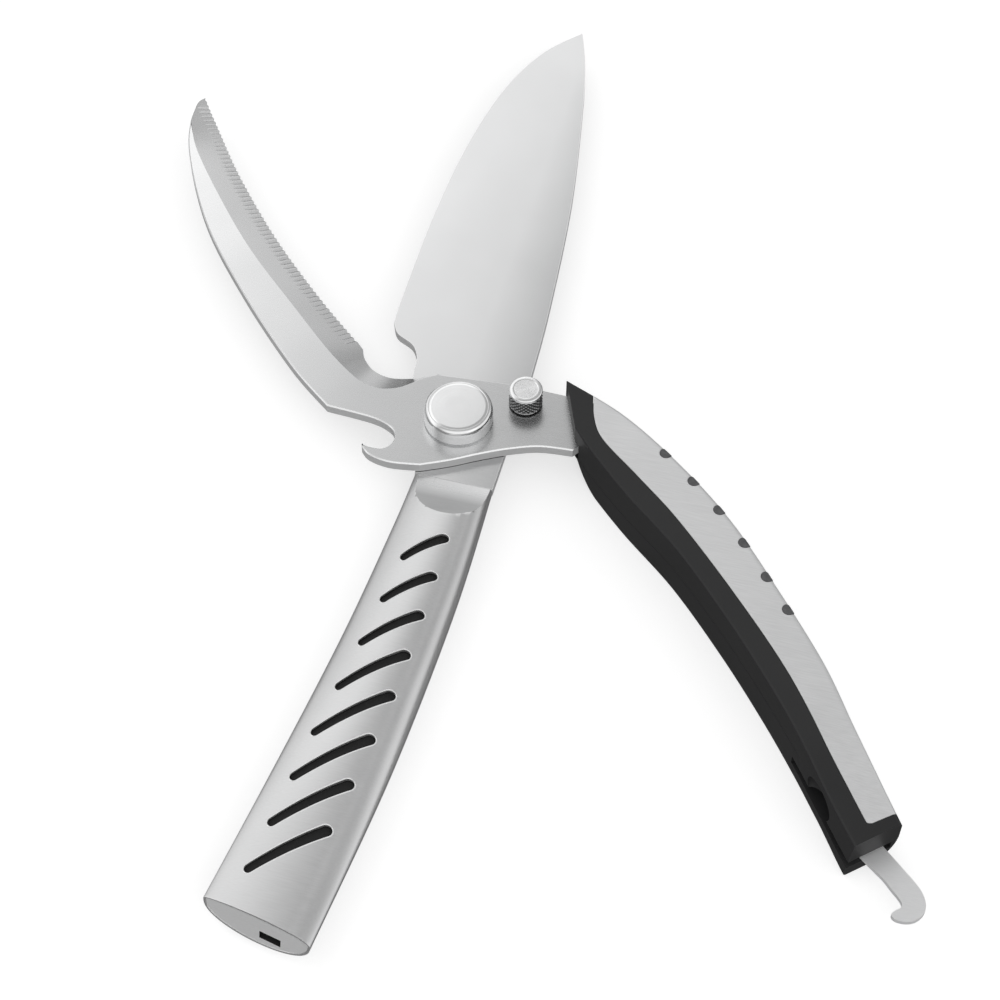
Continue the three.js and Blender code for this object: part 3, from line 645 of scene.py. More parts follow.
# painted highlight: the slot rims get a much brighter steel than the handle
RIM_HIGHLIGHT_STEEL = brushed_steel("slot rim painted highlight steel", grey(0.90, 0.002), grey(0.96, 0.002), 0.3, metal=0.7)
CAP_STEEL = brushed_steel("end cap steel", grey(0.78, 0.002), grey(0.86, 0.002), 0.42,
                          turn=math.radians(-11), stretch=18, line=6500, metal=0.6)
HOOK_STEEL = brushed_steel("latch steel", grey(0.88, 0.005), grey(0.96), 0.4,
                           turn=math.radians(-40), stretch=16, line=8000, metal=0.6)
SPRING_STEEL = brushed_steel("spring steel", (0.42, 0.423, 0.43), (0.52, 0.523, 0.53), 0.28,
                             turn=math.radians(15), stretch=10, line=9000)
HEAD_STEEL = spun_steel("pivot polished steel", (0, 0), grey(0.92), grey(0.97), 0.2)
KNOB_STEEL = spun_steel("knob polished steel", PLUNGER, grey(0.90), grey(0.97), 0.26)
KNURL_STEEL = knurled_steel("knurl steel")
BLACK = moulded_plastic("black nylon", (0.012, 0.012, 0.0125), (0.021, 0.021, 0.0215), 0.5)
# painted shade: the core nylon is darker than the black nylon, for the shade inside the handle
CORE_SHADE_BLACK = moulded_plastic("core nylon, painted shade", (0.006, 0.006, 0.006), (0.011, 0.011, 0.011), 0.6)
RUBBER = soft_rubber("stud rubber")
SILVER = silver_skin("silver facing")


# ---------------------------------------------------------------- knife arm

knife_spine = spline([(12.8, 18), (11.6, 41), (8, 77.7), (2.3, 112), (-1.2, 128), (-4.7, TIP_Y)], 110)
knife_edge = spline([(-4.7, TIP_Y), (-13.2, 128.6), (-19.7, 112.2), (-23.6, 89), (-25, 62), (-24.7, 32)], 120)


def knife_blade():
    heel = spline([(-24.4, 27.2), (-22.4, 23.8), (-17.9, 21.3), (-15.7, 17.7), (-15.3, 13.9)], 48)
    neck = spline([(-13.6, 4), (-10.5, -6), (-6.6, -13), (-6.2, NECK_Y)], 30)
    outline = knife_spine + knife_edge[1:] + heel + neck + [(12.8, NECK_Y)]
    tongue = prism([(-1, NECK_Y + 1), (-1, -27), (8, -27), (8, NECK_Y + 1)],
                   KNIFE_BOTTOM + 0.12, KNIFE_TOP - 0.12)
    body = union(prism(outline, KNIFE_BOTTOM, KNIFE_TOP), tongue)
    body = cut(body, knife_grind(), rod((0, 0), 0, HEAD_TOP, PIVOT_HOLE_R))
    return bevel(body, 0.16, 1, 50, lambda co: co.z > KNIFE_TOP - 0.01 and co.y > NECK_Y + 0.5)


def knife_grind():
    """The wedge taken off the underside, from below the spine to the edge."""
    beyond, sections = 3, []
    stations = [25 + (141 - 25) * i / 90 for i in range(91)]
    for y in stations:
        edge = x_at(knife_edge, min(y, TIP_Y))
        spine = x_at(knife_spine, min(y, TIP_Y))
        start = lerp(edge, spine, 0.78 * smooth(y, 24.9, 31)) + 3 * smooth(y, 126, TIP_Y)
        slope = (KNIFE_TOP - LAND - KNIFE_BOTTOM) / max(start - edge, 1)
        rise = max(slope * (start - edge + beyond) * smooth(y, 24.9, 30), 0.02)
        low = KNIFE_BOTTOM - 0.01
        sections.append([(start, y, low), (edge - beyond, y, low), (edge - beyond, y, KNIFE_BOTTOM + rise)])
    return loft(sections)


shell_left = spline([(-6.2, NECK_Y), (-6.9, -32), (-9.2, -64), (-13.5, -102), (-18.4, -140)], 120)
shell_right = spline([(12.8, NECK_Y), (13.5, -50), (11.8, -95), (7.5, -140)], 120)


def handle_levels(y, inset):
    crown = lerp(lerp(10.7, 11.3, smooth(-y, 16, 60)), 9.3, smooth(-y, 70, 136)) - inset
    belly = lerp(lerp(2.4, 0, smooth(-y, 16, 60)), 1.7, smooth(-y, 85, 136)) + inset
    return crown, belly


def crown_height(x):
    """Height of the crown across the handle, 0 at its rims and 1 right of the middle, with a faint crease."""
    shoulder = math.sin(math.pi * (x - 0.6) / 0.4) if x > 0.6 else 0
    leaned = x - 0.22 * (1 - x * x)
    return math.sqrt(max(1 - leaned * leaned, 0)) + 0.06 * shoulder


def handle_section(y, inset, steps):
    left = x_at(shell_left, y) + inset * 1.3
    right = x_at(shell_right, y) - inset * 1.3
    crown, belly = handle_levels(y, inset)
    middle, half = (left + right) / 2, (right - left) / 2
    points = []
    for k in range(2 * steps):
        angle = math.pi * k / steps
        x = math.cos(angle)
        if k < steps:
            z = CHORD_Z + crown_height(x) * (crown - CHORD_Z)
        else:
            z = CHORD_Z + abs(math.sin(angle)) ** 0.85 * (belly - CHORD_Z)
        points.append((middle + half * x, y, z))
    return points


def handle_body(inset, start, end, rows=90, steps=44):
    return loft([handle_section(lerp(start, end, i / rows), inset, steps) for i in range(rows + 1)])


def butt_slab(depth, thickness):
    """A slab parallel to the leaning butt, its rear face moved forward by depth."""
    along = (Vector(BUTT_RIGHT) - Vector(BUTT_LEFT)).normalized()
    ahead = Vector((-along.y, along.x))
    sections = []
    for z in (-5, 20):
        near = depth + BUTT_LEAN * (z - CHORD_Z)
        far = near + thickness
        sections.append([(*(Vector(BUTT_LEFT) + a * along + f * ahead), z)
                         for a, f in ((-20, near), (50, near), (50, far), (-20, far))])
    return loft(sections)


SCOOP_END = -28.4
SCOOP_RISE = 3.4
SCOOP_TURN = math.radians(8)


def on_scoop(point):
    """Whether a point lies on the upper hollow."""
    y = (point.y - NECK_Y) * math.cos(SCOOP_TURN) - point.x * math.sin(SCOOP_TURN)
    t = y / (SCOOP_END - 2 - NECK_Y)
    return t > -0.01 and abs(point.z - KNIFE_TOP - SCOOP_RISE * t * t) < 0.03


def scoops():
    """The two hollows between the tang and the crown, above and below."""
    steps, cutters = 40, []
    profile = [(-8, KNIFE_TOP), (-8, 18), (SCOOP_END - 2, 18)]
    for i in range(steps + 1):
        t = 1 - i / steps
        profile.append((lerp(NECK_Y, SCOOP_END - 2, t), KNIFE_TOP + SCOOP_RISE * t * t))
    turn = Matrix.Translation((0, NECK_Y, 0)) @ Matrix.Rotation(SCOOP_TURN, 4, "Z") \
        @ Matrix.Translation((0, -NECK_Y, 0))
    for height in (lambda z: z, lambda z: KNIFE_BOTTOM - 2.2 * (z - KNIFE_TOP)):
        cutter = loft([[(x, y, height(z)) for y, z in profile] for x in (-30, 30)])
        cutter.data.transform(turn)
        cutters.append(cutter)
    return cutters


def slot_outline(i, grow=0.0, steps=14):
    """Outline of one slanted slot: round ends, a slight bow, and wider at its upper end."""
    y = -37.4 - 11.6 * i
    x = (x_at(shell_left, y) + x_at(shell_right, y)) / 2 - 0.5
    reach = min(12.2 + 2.05 * i, 20.3) / 2
    slope = math.radians(43)
    narrow, wide, bow = 1.0, 1.35, 0.6

    def at(u, v):
        return (x + u * math.cos(slope) - v * math.sin(slope), y + u * math.sin(slope) + v * math.cos(slope))

    def bowed(u):
        return bow * (1 - (u / reach) ** 2)

    points = []
    for k in range(steps + 1):
        angle = -math.pi / 2 + math.pi * k / steps
        u = reach - wide + (wide + grow) * math.cos(angle)
        points.append(at(u, bowed(min(u, reach)) + (wide + grow) * math.sin(angle)))
    for k in range(1, steps):
        t = k / steps
        u = lerp(reach - wide, -reach + narrow, t)
        points.append(at(u, bowed(u) + lerp(wide, narrow, t) + grow))
    for k in range(steps + 1):
        angle = math.pi / 2 + math.pi * k / steps
        u = -reach + narrow + (narrow + grow) * math.cos(angle)
        points.append(at(u, bowed(max(u, -reach)) + (narrow + grow) * math.sin(angle)))
    for k in range(1, steps):
        t = k / steps
        u = lerp(-reach + narrow, reach - wide, t)
        points.append(at(u, bowed(u) - lerp(narrow, wide, t) - grow))
    return points


def skin_height(x, y, inset=0.0):
    left, right = x_at(shell_left, y) + inset * 1.3, x_at(shell_right, y) - inset * 1.3
    crown, _ = handle_levels(y, inset)
    across_x = (x - (left + right) / 2) / ((right - left) / 2)
    return CHORD_Z + crown_height(min(max(across_x, -1), 1)) * (crown - CHORD_Z)


def handle_shell():
    pocket = [(-1.1, NECK_Y + 1), (-1.1, -27.2), (8.1, -27.2), (8.1, NECK_Y + 1)]
    body = handle_body(0, NECK_Y - 0.05, -142)
    body = cut(body, *scoops(), prism(pocket, KNIFE_BOTTOM + 0.08, KNIFE_TOP - 0.08),
               handle_body(SHELL, -30, -143, 60, 36), butt_slab(-30, 30))
    recess = common(handle_body(0.4, -124, -143, 30, 44), butt_slab(-6, 6 + CAP + 0.4))
    body = cut(body, recess, joined([prism(slot_outline(i, 0.15), CHORD_Z, 20) for i in range(8)]),
               joined([prism(slot_outline(i, 0.15), -5, CHORD_Z - 1) for i in range(8)]))
    return bevel(body, 0.1, 2, 60, lambda co: co.y < -131)


def slot_rims():
    """The rounded lip round each upper slot, where the sheet turns in."""
    rings = []
    for i in range(8):
        path = [(x, y, skin_height(x, y) - 0.07) for x, y in slot_outline(i, 0.2, 16)]
        rings.append(tube(path, 0.17, 8))
    return joined(rings)


def handle_core():
    return cut(handle_body(SHELL + 0.25, -30.3, -142, 40, 28), butt_slab(-30, 30 + CAP + 0.6))


CAP_SLOT = Vector((-1.7, -136.4, 4.45))


def handle_end_cap():
    x, y, z = CAP_SLOT
    slot = bar((x, y), 2.5, 5, z - 0.95, z + 0.95)
    plate = common(handle_body(0.45, -124, -143, 30, 44), butt_slab(0.12, CAP + 0.2))
    return bevel(cut(plate, slot), 0.15, 2, 50)


def pivot_bolt():
    base = PLATE_TOP + 0.1
    shaft = 3.5
    profile = [(0, BOLT_BOTTOM), (shaft - 0.4, BOLT_BOTTOM), (shaft, BOLT_BOTTOM + 0.4), (shaft, base),
               (HEAD_R - 0.5, base), (HEAD_R, base + 0.5), (HEAD_R, HEAD_TOP - 1.6)]
    profile += [around((HEAD_R - 0.95, HEAD_TOP - 1.6), (0.95, 1.5), math.pi / 2 * k / 9) for k in range(1, 9)]
    profile += [(HEAD_R - inward, HEAD_TOP - down) for inward, down in
                ((1.02, 0.06), (1.16, 0.13), (1.26, 0.1), (1.42, 0.02), (1.8, 0))]
    profile += [(2, HEAD_TOP), (0, HEAD_TOP)]
    return turned((0, 0), profile, 144)


def pivot_nut():
    low, high = levels("pivot_nut")
    outer = turned((0, 0), [(0, low), (7.2, low), (8, low + 0.8), (8, high - 0.6), (7.4, high), (0, high)],
                   128, 0.15)
    ring = cut(rod((0, 0), -1, 1.2, 9, 96), rod((0, 0), -2, 2, 5.2, 96))
    bars = union(bar((0, 0), 9, 0.9, -1, 1.1), bar((0, 0), 0.9, 9, -1, 1.1))
    return bevel(cut(outer, rod((0, 0), 0.5, 5, PIVOT_HOLE_R), common(bars, ring)), 0.1, 2, 60)


def washer(node, inner, outer, thickness, wave, steps=144):
    low, high = levels(node)
    middle = (low + high) / 2
    half, chamfer = thickness / 2, thickness * 0.18
    sections = []
    for i in range(steps):
        angle = 2 * math.pi * i / steps
        lift = middle + wave * math.sin(3 * angle)
        profile = [(inner + chamfer, -half), (outer - chamfer, -half), (outer, -half + chamfer),
                   (outer, half - chamfer), (outer - chamfer, half), (inner + chamfer, half),
                   (inner, half - chamfer), (inner, -half + chamfer)]
        sections.append([(*around((0, 0), r, angle), lift + z) for r, z in profile])
    return loft(sections, close=True)


blade = piece(knife_blade(), "knife_blade", "knife_arm", KNIFE_STEEL, crease=14)
# the side walls get the sheared steel, its darker grey painted shade
another_material(blade, SHEARED_AND_SHADED_STEEL, on_side)
shell = piece(handle_shell(), "handle_shell", "knife_arm", HANDLE_STEEL, crease=24)
# painted shade: the scoop faces get the darker steel
another_material(shell, SCOOP_SHADE_STEEL, lambda centre, normal: on_scoop(centre))
# painted highlight: the rims round the slots are painted bright
piece(slot_rims(), "handle_slot_rims", "knife_arm", RIM_HIGHLIGHT_STEEL, replaced=["handle_shell"])
# the core gets the darker nylon as painted shade
piece(handle_core(), "handle_core", "knife_arm", CORE_SHADE_BLACK)
cap = piece(handle_end_cap(), "handle_end_cap", "knife_arm", CAP_STEEL)
# painted shade: the slot walls of the end cap get the near-black core nylon
another_material(cap, CORE_SHADE_BLACK, lambda centre, normal: abs(centre.x - CAP_SLOT.x) < 2.55
                 and abs(centre.z - CAP_SLOT.z) < 1 and abs(normal.y) < 0.8)
piece(pivot_bolt(), "pivot_bolt", "knife_arm", HEAD_STEEL, crease=24)
piece(washer("pivot_wave_washer", PIVOT_HOLE_R + 0.2, 6.6, 0.4, 0.3), "pivot_wave_washer", "knife_arm",
      SPRING_STEEL)
piece(washer("pivot_washer", PIVOT_HOLE_R + 0.1, 7.4, 0.8, 0), "pivot_washer", "knife_arm",
      SPRING_STEEL)
piece(pivot_nut(), "pivot_nut", "knife_arm", HEAD_STEEL)


# ---------------------------------------------------------------- cutting arm: blade and plate

BLADE_TIP = (-95.2, 87.8)
toothed_edge = [BLADE_TIP, (-88, 78), (-76.6, 62.9), (-61.2, 45.5), (-44.3, 29.4), (-31, 18.2)]
blade_back = [(-31.5, -4.3), (-44, 5.6), (-62.8, 24.4), (-79.8, 44.8), (-92.4, 67.6), (-95.9, 82.8),
              BLADE_TIP]
bone_notch = [(-29, 16.3), (-27.6, 13.4), (-24.3, 10.5), (-19.5, 9.5), (-14, 11)]
PLATE_CORNER = (-8.5, 11.9)
PITCH, TOOTH = 1.6, 0.35
grind_edge = [(-97, 91), (-92.2, 83.5), (-84, 72), (-72.2, 57.8), (-59.5, 43.8), (-42.3, 27.7), (-30.6, 17.6),
              (-27.4, 13.2), (-24.4, 10.6), (-20.3, 9.5), (-16.4, 10.1), (-12.5, 11.3), PLATE_CORNER]
grind_line = [(-98.5, 82.5), (-94.7, 75.9), (-89.7, 66.9), (-78, 52.2), (-64.9, 37.7), (-48, 22.3), (-37.3, 12.8),
              (-30.5, 7.6), (-25.5, 4.7), (-21, 4), (-16.4, 5.6), (-12.2, 9.2), (-8.8, 11.6)]


def tooth_places():
    """Each point of the toothed edge with the direction into the blade."""
    count = 2 * round(length_of(spline(toothed_edge, 400)) / PITCH)
    points = spaced(toothed_edge, count)
    places = []
    for i, p in enumerate(points):
        way = tangent(toothed_edge, i / count)
        places.append((p, Vector((way.y, -way.x))))
    return places


def teeth():
    outline = []
    for i, (p, inward) in enumerate(tooth_places()):
        back = TOOTH if i % 2 else 0
        outline.append((p[0] + back * inward.x, p[1] + back * inward.y))
    return outline


def tooth_grooves():
    """A shallow V from each gullet up the ground face."""
    cutters = []
    line_points = spline(grind_line, 200)
    low = PLATE_BOTTOM + LAND
    for i, (p, inward) in enumerate(tooth_places()):
        if i % 2 == 0 or i < 5:
            continue
        way = Vector((-inward.y, inward.x))
        slope = (PLATE_TOP - low) / min(math.dist(p, q) for q in line_points)
        sections = []
        for reach, depth in ((-0.5, 0.28), (2.5, 0.26), (3.5, 0.03)):
            middle = Vector(p) + reach * inward
            face, half = low + slope * reach, 2 * (depth + 0.1)
            sections.append([(*(middle + half * way), face + 0.1), (*(middle - half * way), face + 0.1),
                             (*middle, face - depth)])
        cutters.append(loft(sections))
    return joined(cutters)


def blade_grind():
    steps, beyond, sections = 150, 1.2, []
    outer, inner = spline(grind_edge, steps), spline(grind_line, steps)
    for i in range(steps + 1):
        start, end = Vector(inner[i]), Vector(outer[i])
        width = (end - start).length
        depth = (PLATE_TOP - PLATE_BOTTOM - LAND) * min(1, (steps - i) / 16)
        way = (end - start) / width
        section = []
        for reach, z in ((0, 0), (width + beyond, -max(depth, 0.02) * (width + beyond) / width),
                         (width + beyond, 0.5), (0, 0.5)):
            point = start + way * reach
            section.append((point.x, point.y, PLATE_TOP + z))
        sections.append(section)
    return loft(sections)


inner_wall = [(28.2, 1.2), (33.9, -4.9), (44.5, -14.7), (59.1, -26.7), (73.9, -41.8), (86, -55.6), (95.6, -67.6),
              (104, -78.9), (111.6, -88.2)]
outer_wall = [(22.6, 14.9), (38.6, 8.2), (55, -2.8), (69.8, -15.5), (84.4, -31.8), (96.9, -47), (105.9, -60.4),
              (114.1, -71.7), (120.4, -80.1)]


def clamped(u):
    return min(max(u, 0), 1)


def width_at(u):
    return math.dist(curve_point(inner_wall, clamped(u)), curve_point(outer_wall, clamped(u)))


def across(u, n):
    a, b = curve_point(inner_wall, clamped(u)), curve_point(outer_wall, clamped(u))
    t = n / math.dist(a, b)
    return (lerp(a[0], b[0], t), lerp(a[1], b[1], t))


def height_at(u):
    return lerp(HANDLE_HEIGHT, HANDLE_END_HEIGHT, smooth(u, 0.68, 1.04))


def underside_at(u):
    return min(5.3, 7.9 * max(1 - u / 0.15, 0) ** 1.5)


LATCH_POCKET_U = 0.735
LATCH_POCKET_Z = (3.5, 6)


def parting_at(u):
    return lerp(6.3, 9.9, u / 0.76) if u < LATCH_POCKET_U + 0.03 else 5.7


def tang_outline(grow):
    stations = [0.07, 0.14, 0.22, 0.32, 0.42]
    return [across(u, width_at(u) - 3.6 + grow) for u in stations] \
        + [across(u, 3.3 - grow) for u in reversed(stations)]


def tang_region(grow):
    return [(18, 13.8 + grow), (22.8, 13.8 + grow), *tang_outline(grow), (28.5, -1.8 - grow), (18, -3.4 - grow)]


screw_places = [across(u, width_at(u) / 2) for u in (0.15, 0.34, 0.66)]


def cutting_blade():
    opener_tooth = spline([(-5.1, -15.4), (-12.2, -16.5), (-17.3, -15.7), (-19.6, -14), (-20.1, -13)], 40)
    opener_notch = spline([(-20.1, -13), (-18, -13.4), (-15, -13), (-13.3, -11), (-13.3, -8.6), (-15, -6.5),
                           (-20, -4.9), (-31.5, -4.3)], 80)
    lower_edge = spline([(28.5, -1.8), (20.8, -2.7), (14.1, -5.2), (7.7, -8.5), (1.4, -12.2), (-5.1, -15.4)], 60)
    outline = [*teeth(), *spline(bone_notch, 40), PLATE_CORNER, (11, 13.9), (22.8, 13.8), *tang_outline(0),
               *lower_edge, *opener_tooth[1:], *opener_notch[1:], *spline(blade_back, 110)[1:-1]]
    body = prism(outline, PLATE_BOTTOM, PLATE_TOP)
    body = cut(body, blade_grind(), rod((0, 0), 0, 20, PIVOT_HOLE_R), rod(PLUNGER, 0, 20, BARREL_R + 0.1),
               *[rod(place, 0, 20, 1.7, 32) for place in screw_places[:2]])
    body = bevel(body, 0.28, 1, 50, clamp=False,
                 where=lambda co: co.z > PLATE_TOP - 0.005 and co.x < 29 and co.length > 12)
    return cut(body, tooth_grooves())


blade = piece(cutting_blade(), "cutting_blade", "cutting_arm", PLATE_STEEL, crease=11)
# the side walls get the sheared steel, its darker grey painted shade
another_material(blade, SHEARED_AND_SHADED_STEEL, on_side)
# painted highlight: brighter steel on the chamfer faces along the top edges
another_material(blade, CHAMFER_HIGHLIGHT_STEEL,
                 lambda centre, normal: 0.5 < normal.z < 0.85 and centre.z > PLATE_TOP - 0.32)


# ---------------------------------------------------------------- cutting arm: handle

def arc(centre, radius, start, end, steps):
    """Points of an elliptical arc, in degrees."""
    return [around(centre, radius, math.radians(lerp(start, end, k / steps))) for k in range(steps + 1)]


def line(a, b, steps):
    return [(lerp(a[0], b[0], k / steps), lerp(a[1], b[1], k / steps)) for k in range(1, steps)]


def grip_section(u, skin):
    width, height = width_at(u) - skin, height_at(u) - skin
    low, ridge, edge, under = underside_at(u) + skin, 0.7, 1.3, 5
    belly = arc((width - under, 0.6 * height), (under, 0.6 * height - low), -90, 0, 16)
    top = arc((width - edge, height - edge), (edge, edge), 0, 90, 8)
    shoulder = arc((skin + ridge, height - ridge), (ridge, ridge), 90, 180, 6)
    foot = arc((skin + 0.8, low + 0.8), (0.8, 0.8), 180, 270, 4)
    return [*foot, *line(foot[-1], belly[0], 3), *belly, *line(belly[-1], top[0], 3), *top,
            *line(top[-1], shoulder[0], 5), *shoulder, *line(shoulder[-1], foot[0], 5)]


def grip_body(skin, start=0.0, end=1.0, rows=120):
    sections = []
    for i in range(rows + 1):
        u = lerp(start, end, i / rows)
        section = []
        for n, z in grip_section(u, skin):
            low = 1 - z / height_at(u)
            inner = max(1 - n / width_at(u), 0)
            undercut, flare = 0.006 * smooth(u, 0.9, 1), smooth(u, 0.85, 1) * inner
            section.append((*across(u - undercut * low, n - flare * low), z))
        sections.append(section)
    return loft(sections)


def grip_slab(start, end, inner, outer, bottom, top, rows=70):
    """A slab that follows the handle between two heights."""
    sections = []
    for i in range(rows + 1):
        u = lerp(start, end, i / rows)
        ahead = u - 1 if u > 1 else min(u, 0)
        way = tangent(inner_wall, 1 if u > 0.5 else 0)
        section = []
        for n, z in ((inner, bottom(u)), (outer(u), bottom(u)), (outer(u), top(u)), (inner, top(u))):
            x, y = across(u, n)
            section.append((x + ahead * 120 * way.x, y + ahead * 120 * way.y, z))
        sections.append(section)
    return loft(sections)


cover_edge = [(29.6, 14.5), (30.2, 11.4), (31.9, 5.1), (35.5, -0.6), (45.8, -8.8), (57.5, -18.4), (73.6, -34.2),
              (89.3, -51.3), (102.5, -69), (108.9, -77.1), (112.4, -81.5)]
COVER_LOW = 3


def cover_outline(grow):
    corner = spline([(112.4, -81.5), (113.1, -82.2), (114.1, -82)], 8)[1:]
    outside = [(125, -73), (108, -42), (84, -8), (50, 22), (32, 24)]
    return offset([*spline(cover_edge, 90), *corner, *outside], grow)


STUD_R = 1.4
STUD_STATIONS = [0.219, 0.284, 0.348, 0.411, 0.469, 0.527]


def stud_rod(u, radius, grow):
    return rod(across(u, width_at(u) - 0.9), height_at(u) - 6 - grow, height_at(u) + 2, radius, 48)


def handle_cover():
    body = cut(grip_body(0), grip_body(COVER))
    body = common(body, prism(cover_outline(0), COVER_LOW, 25))
    body = bevel(body, 0.16, 2, 55, lambda co: co.z > 4)
    return cut(body, *[stud_rod(u, STUD_R + 0.1, 0.12) for u in STUD_STATIONS])


def grip_stud(u):
    back = rod(across(u, width_at(u) - 5.2), -1, height_at(u) - 1.6, 3.4, 48)
    stud = cut(common(stud_rod(u, STUD_R, 0), grip_body(-0.12, rows=60)), back)
    return bevel(stud, 0.14, 2, 50)


def latch_pocket():
    return grip_slab(LATCH_POCKET_U, 1.06, -4, lambda u: width_at(u) - 1.7,
                     lambda u: LATCH_POCKET_Z[0], lambda u: LATCH_POCKET_Z[1], 24)


def finger_dimple():
    centre = curve_point(inner_wall, 0.845)
    way = tangent(inner_wall, 0.845)
    ball = turned((0, 0), [(math.sin(math.pi * k / 32), -math.cos(math.pi * k / 32)) for k in range(33)], 64)
    ball.data.transform(Matrix.Translation((*centre, 8.3)) @ Matrix.Rotation(math.atan2(way.y, way.x), 4, "Z")
                        @ Matrix.Diagonal((5.3, 3, 4.3, 1)))
    return ball


def below_parting(shift):
    return grip_slab(-0.2, 1.2, -6, lambda u: width_at(u) + 6, lambda u: -5,
                     lambda u: parting_at(u) + shift, 140)


def grip_under_cover():
    recess = cut(grip_body(-1), grip_body(COVER + 0.25))
    recess = common(recess, prism(cover_outline(0.12), COVER_LOW - 0.12, 25))
    return cut(grip_body(0), recess)


def hollow(bosses):
    return cut(grip_body(2.2, 0.035, 0.7, 50), *bosses)


def end_details():
    return [latch_pocket(), finger_dimple(), rod(LATCH_PIVOT, 1.4, 10.5, 1.55, 32)]


def upper_shell(skin):
    bosses = [rod(place, PLATE_TOP + 0.15 if i < 2 else 9.8, 15.5, 3, 32) for i, place in enumerate(screw_places)]
    body = cut(skin, below_parting(0.08), hollow(bosses), prism(tang_region(0.2), 0, PLATE_TOP + 0.15))
    return cut(body, *[rod(place, 0, 13, 1.35, 32) for place in screw_places], *end_details(),
               *[stud_rod(u, STUD_R + 0.2, 0.3) for u in STUD_STATIONS])


def lower_shell(skin):
    floor = prism([(0, 40), (140, 40), (140, -110), (0, -110)], -5, 1.8)
    body = cut(common(skin, below_parting(-0.08)), cut(hollow([]), floor))
    for i, place in enumerate(screw_places):
        top = PLATE_BOTTOM - 0.15 if i < 2 else 9.2
        body = union(body, rod(place, 1.2, 5, 3.8, 32), rod(place, 4, top, 2.9, 32))
    block = common(prism(tang_region(-0.1), 5.7, PLATE_BOTTOM - 0.15),
                   grip_slab(0.004, 0.06, 1.5, lambda u: width_at(u) - 1.5, lambda u: 4, lambda u: 12, 8))
    body = union(body, block)
    return cut(body, *[rod(place, -1, 12, 1.7, 32) for place in screw_places],
               *[rod(place, -1, 3.2, 3, 48) for place in screw_places], *end_details(),
               *[stud_rod(u, STUD_R + 0.2, 0.3) for u in STUD_STATIONS])


def handle_screw(place):
    body = turned(place, [(0, 0.5), (2.6, 0.5), (2.8, 0.8), (2.8, 1.6), (1.5, 3), (1.3, 3), (1.3, 12.4), (0, 12.9)],
                  64, 0.1)
    cross = union(bar((0, 0), 1.5, 0.3, 0, 1.5), bar((0, 0), 0.3, 1.5, 0, 1.5))
    cross.data.transform(Matrix.Translation((*place, 0)) @ Matrix.Rotation(math.radians(20), 4, "Z"))
    return cut(body, cross)


grip = grip_under_cover()
piece(upper_shell(copy(grip)), "handle_upper_shell", "cutting_arm", BLACK, crease=24)
piece(lower_shell(grip), "handle_lower_shell", "cutting_arm", BLACK, crease=24)
piece(handle_cover(), "handle_cover", "cutting_arm", SILVER, crease=24)
for number, station in enumerate(STUD_STATIONS):
    piece(grip_stud(station), f"grip_stud_{number + 1}", "cutting_arm", RUBBER)
for place_name, place in zip(("front", "middle", "rear"), screw_places):
    piece(handle_screw(place), f"handle_screw_{place_name}", "cutting_arm", SPRING_STEEL)
pin_low, pin_high = levels("latch_pin")
piece(turned(LATCH_PIVOT, [(0, pin_low), (1.5, pin_low), (1.5, pin_high), (0, pin_high)], 48, 0.15),
      "latch_pin", "cutting_arm", SPRING_STEEL)


# ---------------------------------------------------------------- lock plunger

def knurled_knob():
    """A knob with a spun, slightly dished top and a diamond knurl round its side."""
    sides, rows, grooves, depth = 264, 40, 22, 0.24
    low, high = KNOB_BOTTOM + 0.35, KNOB_TOP - 0.8
    rings = [(0.02, 16.05), (0.85, 16.05), (0.85, 14.6), (2.95, 14.6), (2.95, KNOB_BOTTOM),
             (KNOB_R - 0.45, KNOB_BOTTOM), (KNOB_R - 0.14, KNOB_BOTTOM + 0.22)]
    sections = [[(r, z)] * sides for r, z in rings]
    for j in range(rows + 1):
        z = lerp(low, high, j / rows)
        fade = smooth(j, 0, 3) * smooth(rows - j, 0, 3)
        ring = []
        for k in range(sides):
            turn = grooves * k / sides
            rise = (z - low) / 1.12
            a, b = (turn + rise) % 1, (turn - rise) % 1
            peak = min(abs(2 * a - 1), abs(2 * b - 1))
            ring.append((KNOB_R - depth * fade * (1 - min(peak * 1.35, 1)), z))
        sections.append(ring)
    rounding = [around((KNOB_R - 0.5, KNOB_TOP - 0.55), 0.5, math.radians(t)) for t in range(15, 90, 15)]
    dish = [(KNOB_R - 0.62, KNOB_TOP), (KNOB_R - 0.95, KNOB_TOP), (KNOB_R - 1.05, KNOB_TOP - 0.06)]
    spun = [(lerp(KNOB_R - 1.15, 0.02, k / 28), KNOB_TOP - 0.08 - (0.02 if k % 2 else 0)) for k in range(29)]
    sections += [[(r, z)] * sides for r, z in rounding + dish + spun]
    return loft([[(*around(PLUNGER, r, 2 * math.pi * k / sides), z) for k, (r, z) in enumerate(section)]
                 for section in sections])


def plunger_barrel():
    low, high = levels("plunger_barrel")
    return turned(PLUNGER, [(1.9, low), (BARREL_R, low), (BARREL_R, PLATE_TOP + 0.05), (2.7, PLATE_TOP + 0.05),
                            (2.7, PLATE_TOP + 0.6), (BARREL_R, PLATE_TOP + 0.6), (BARREL_R, high), (1, high),
                            (1, high - 0.8), (1.9, high - 0.8), (1.9, low)], 64, 0.08)


def plunger_pin():
    low, high = levels("plunger_pin")
    return turned(PLUNGER, [(0, low), (0.75, low), (1, low + 0.25), (1, 9.1), (1.75, 9.1), (1.75, 9.6), (0.8, 9.6),
                            (0.8, high), (0, high)], 48, 0.08)


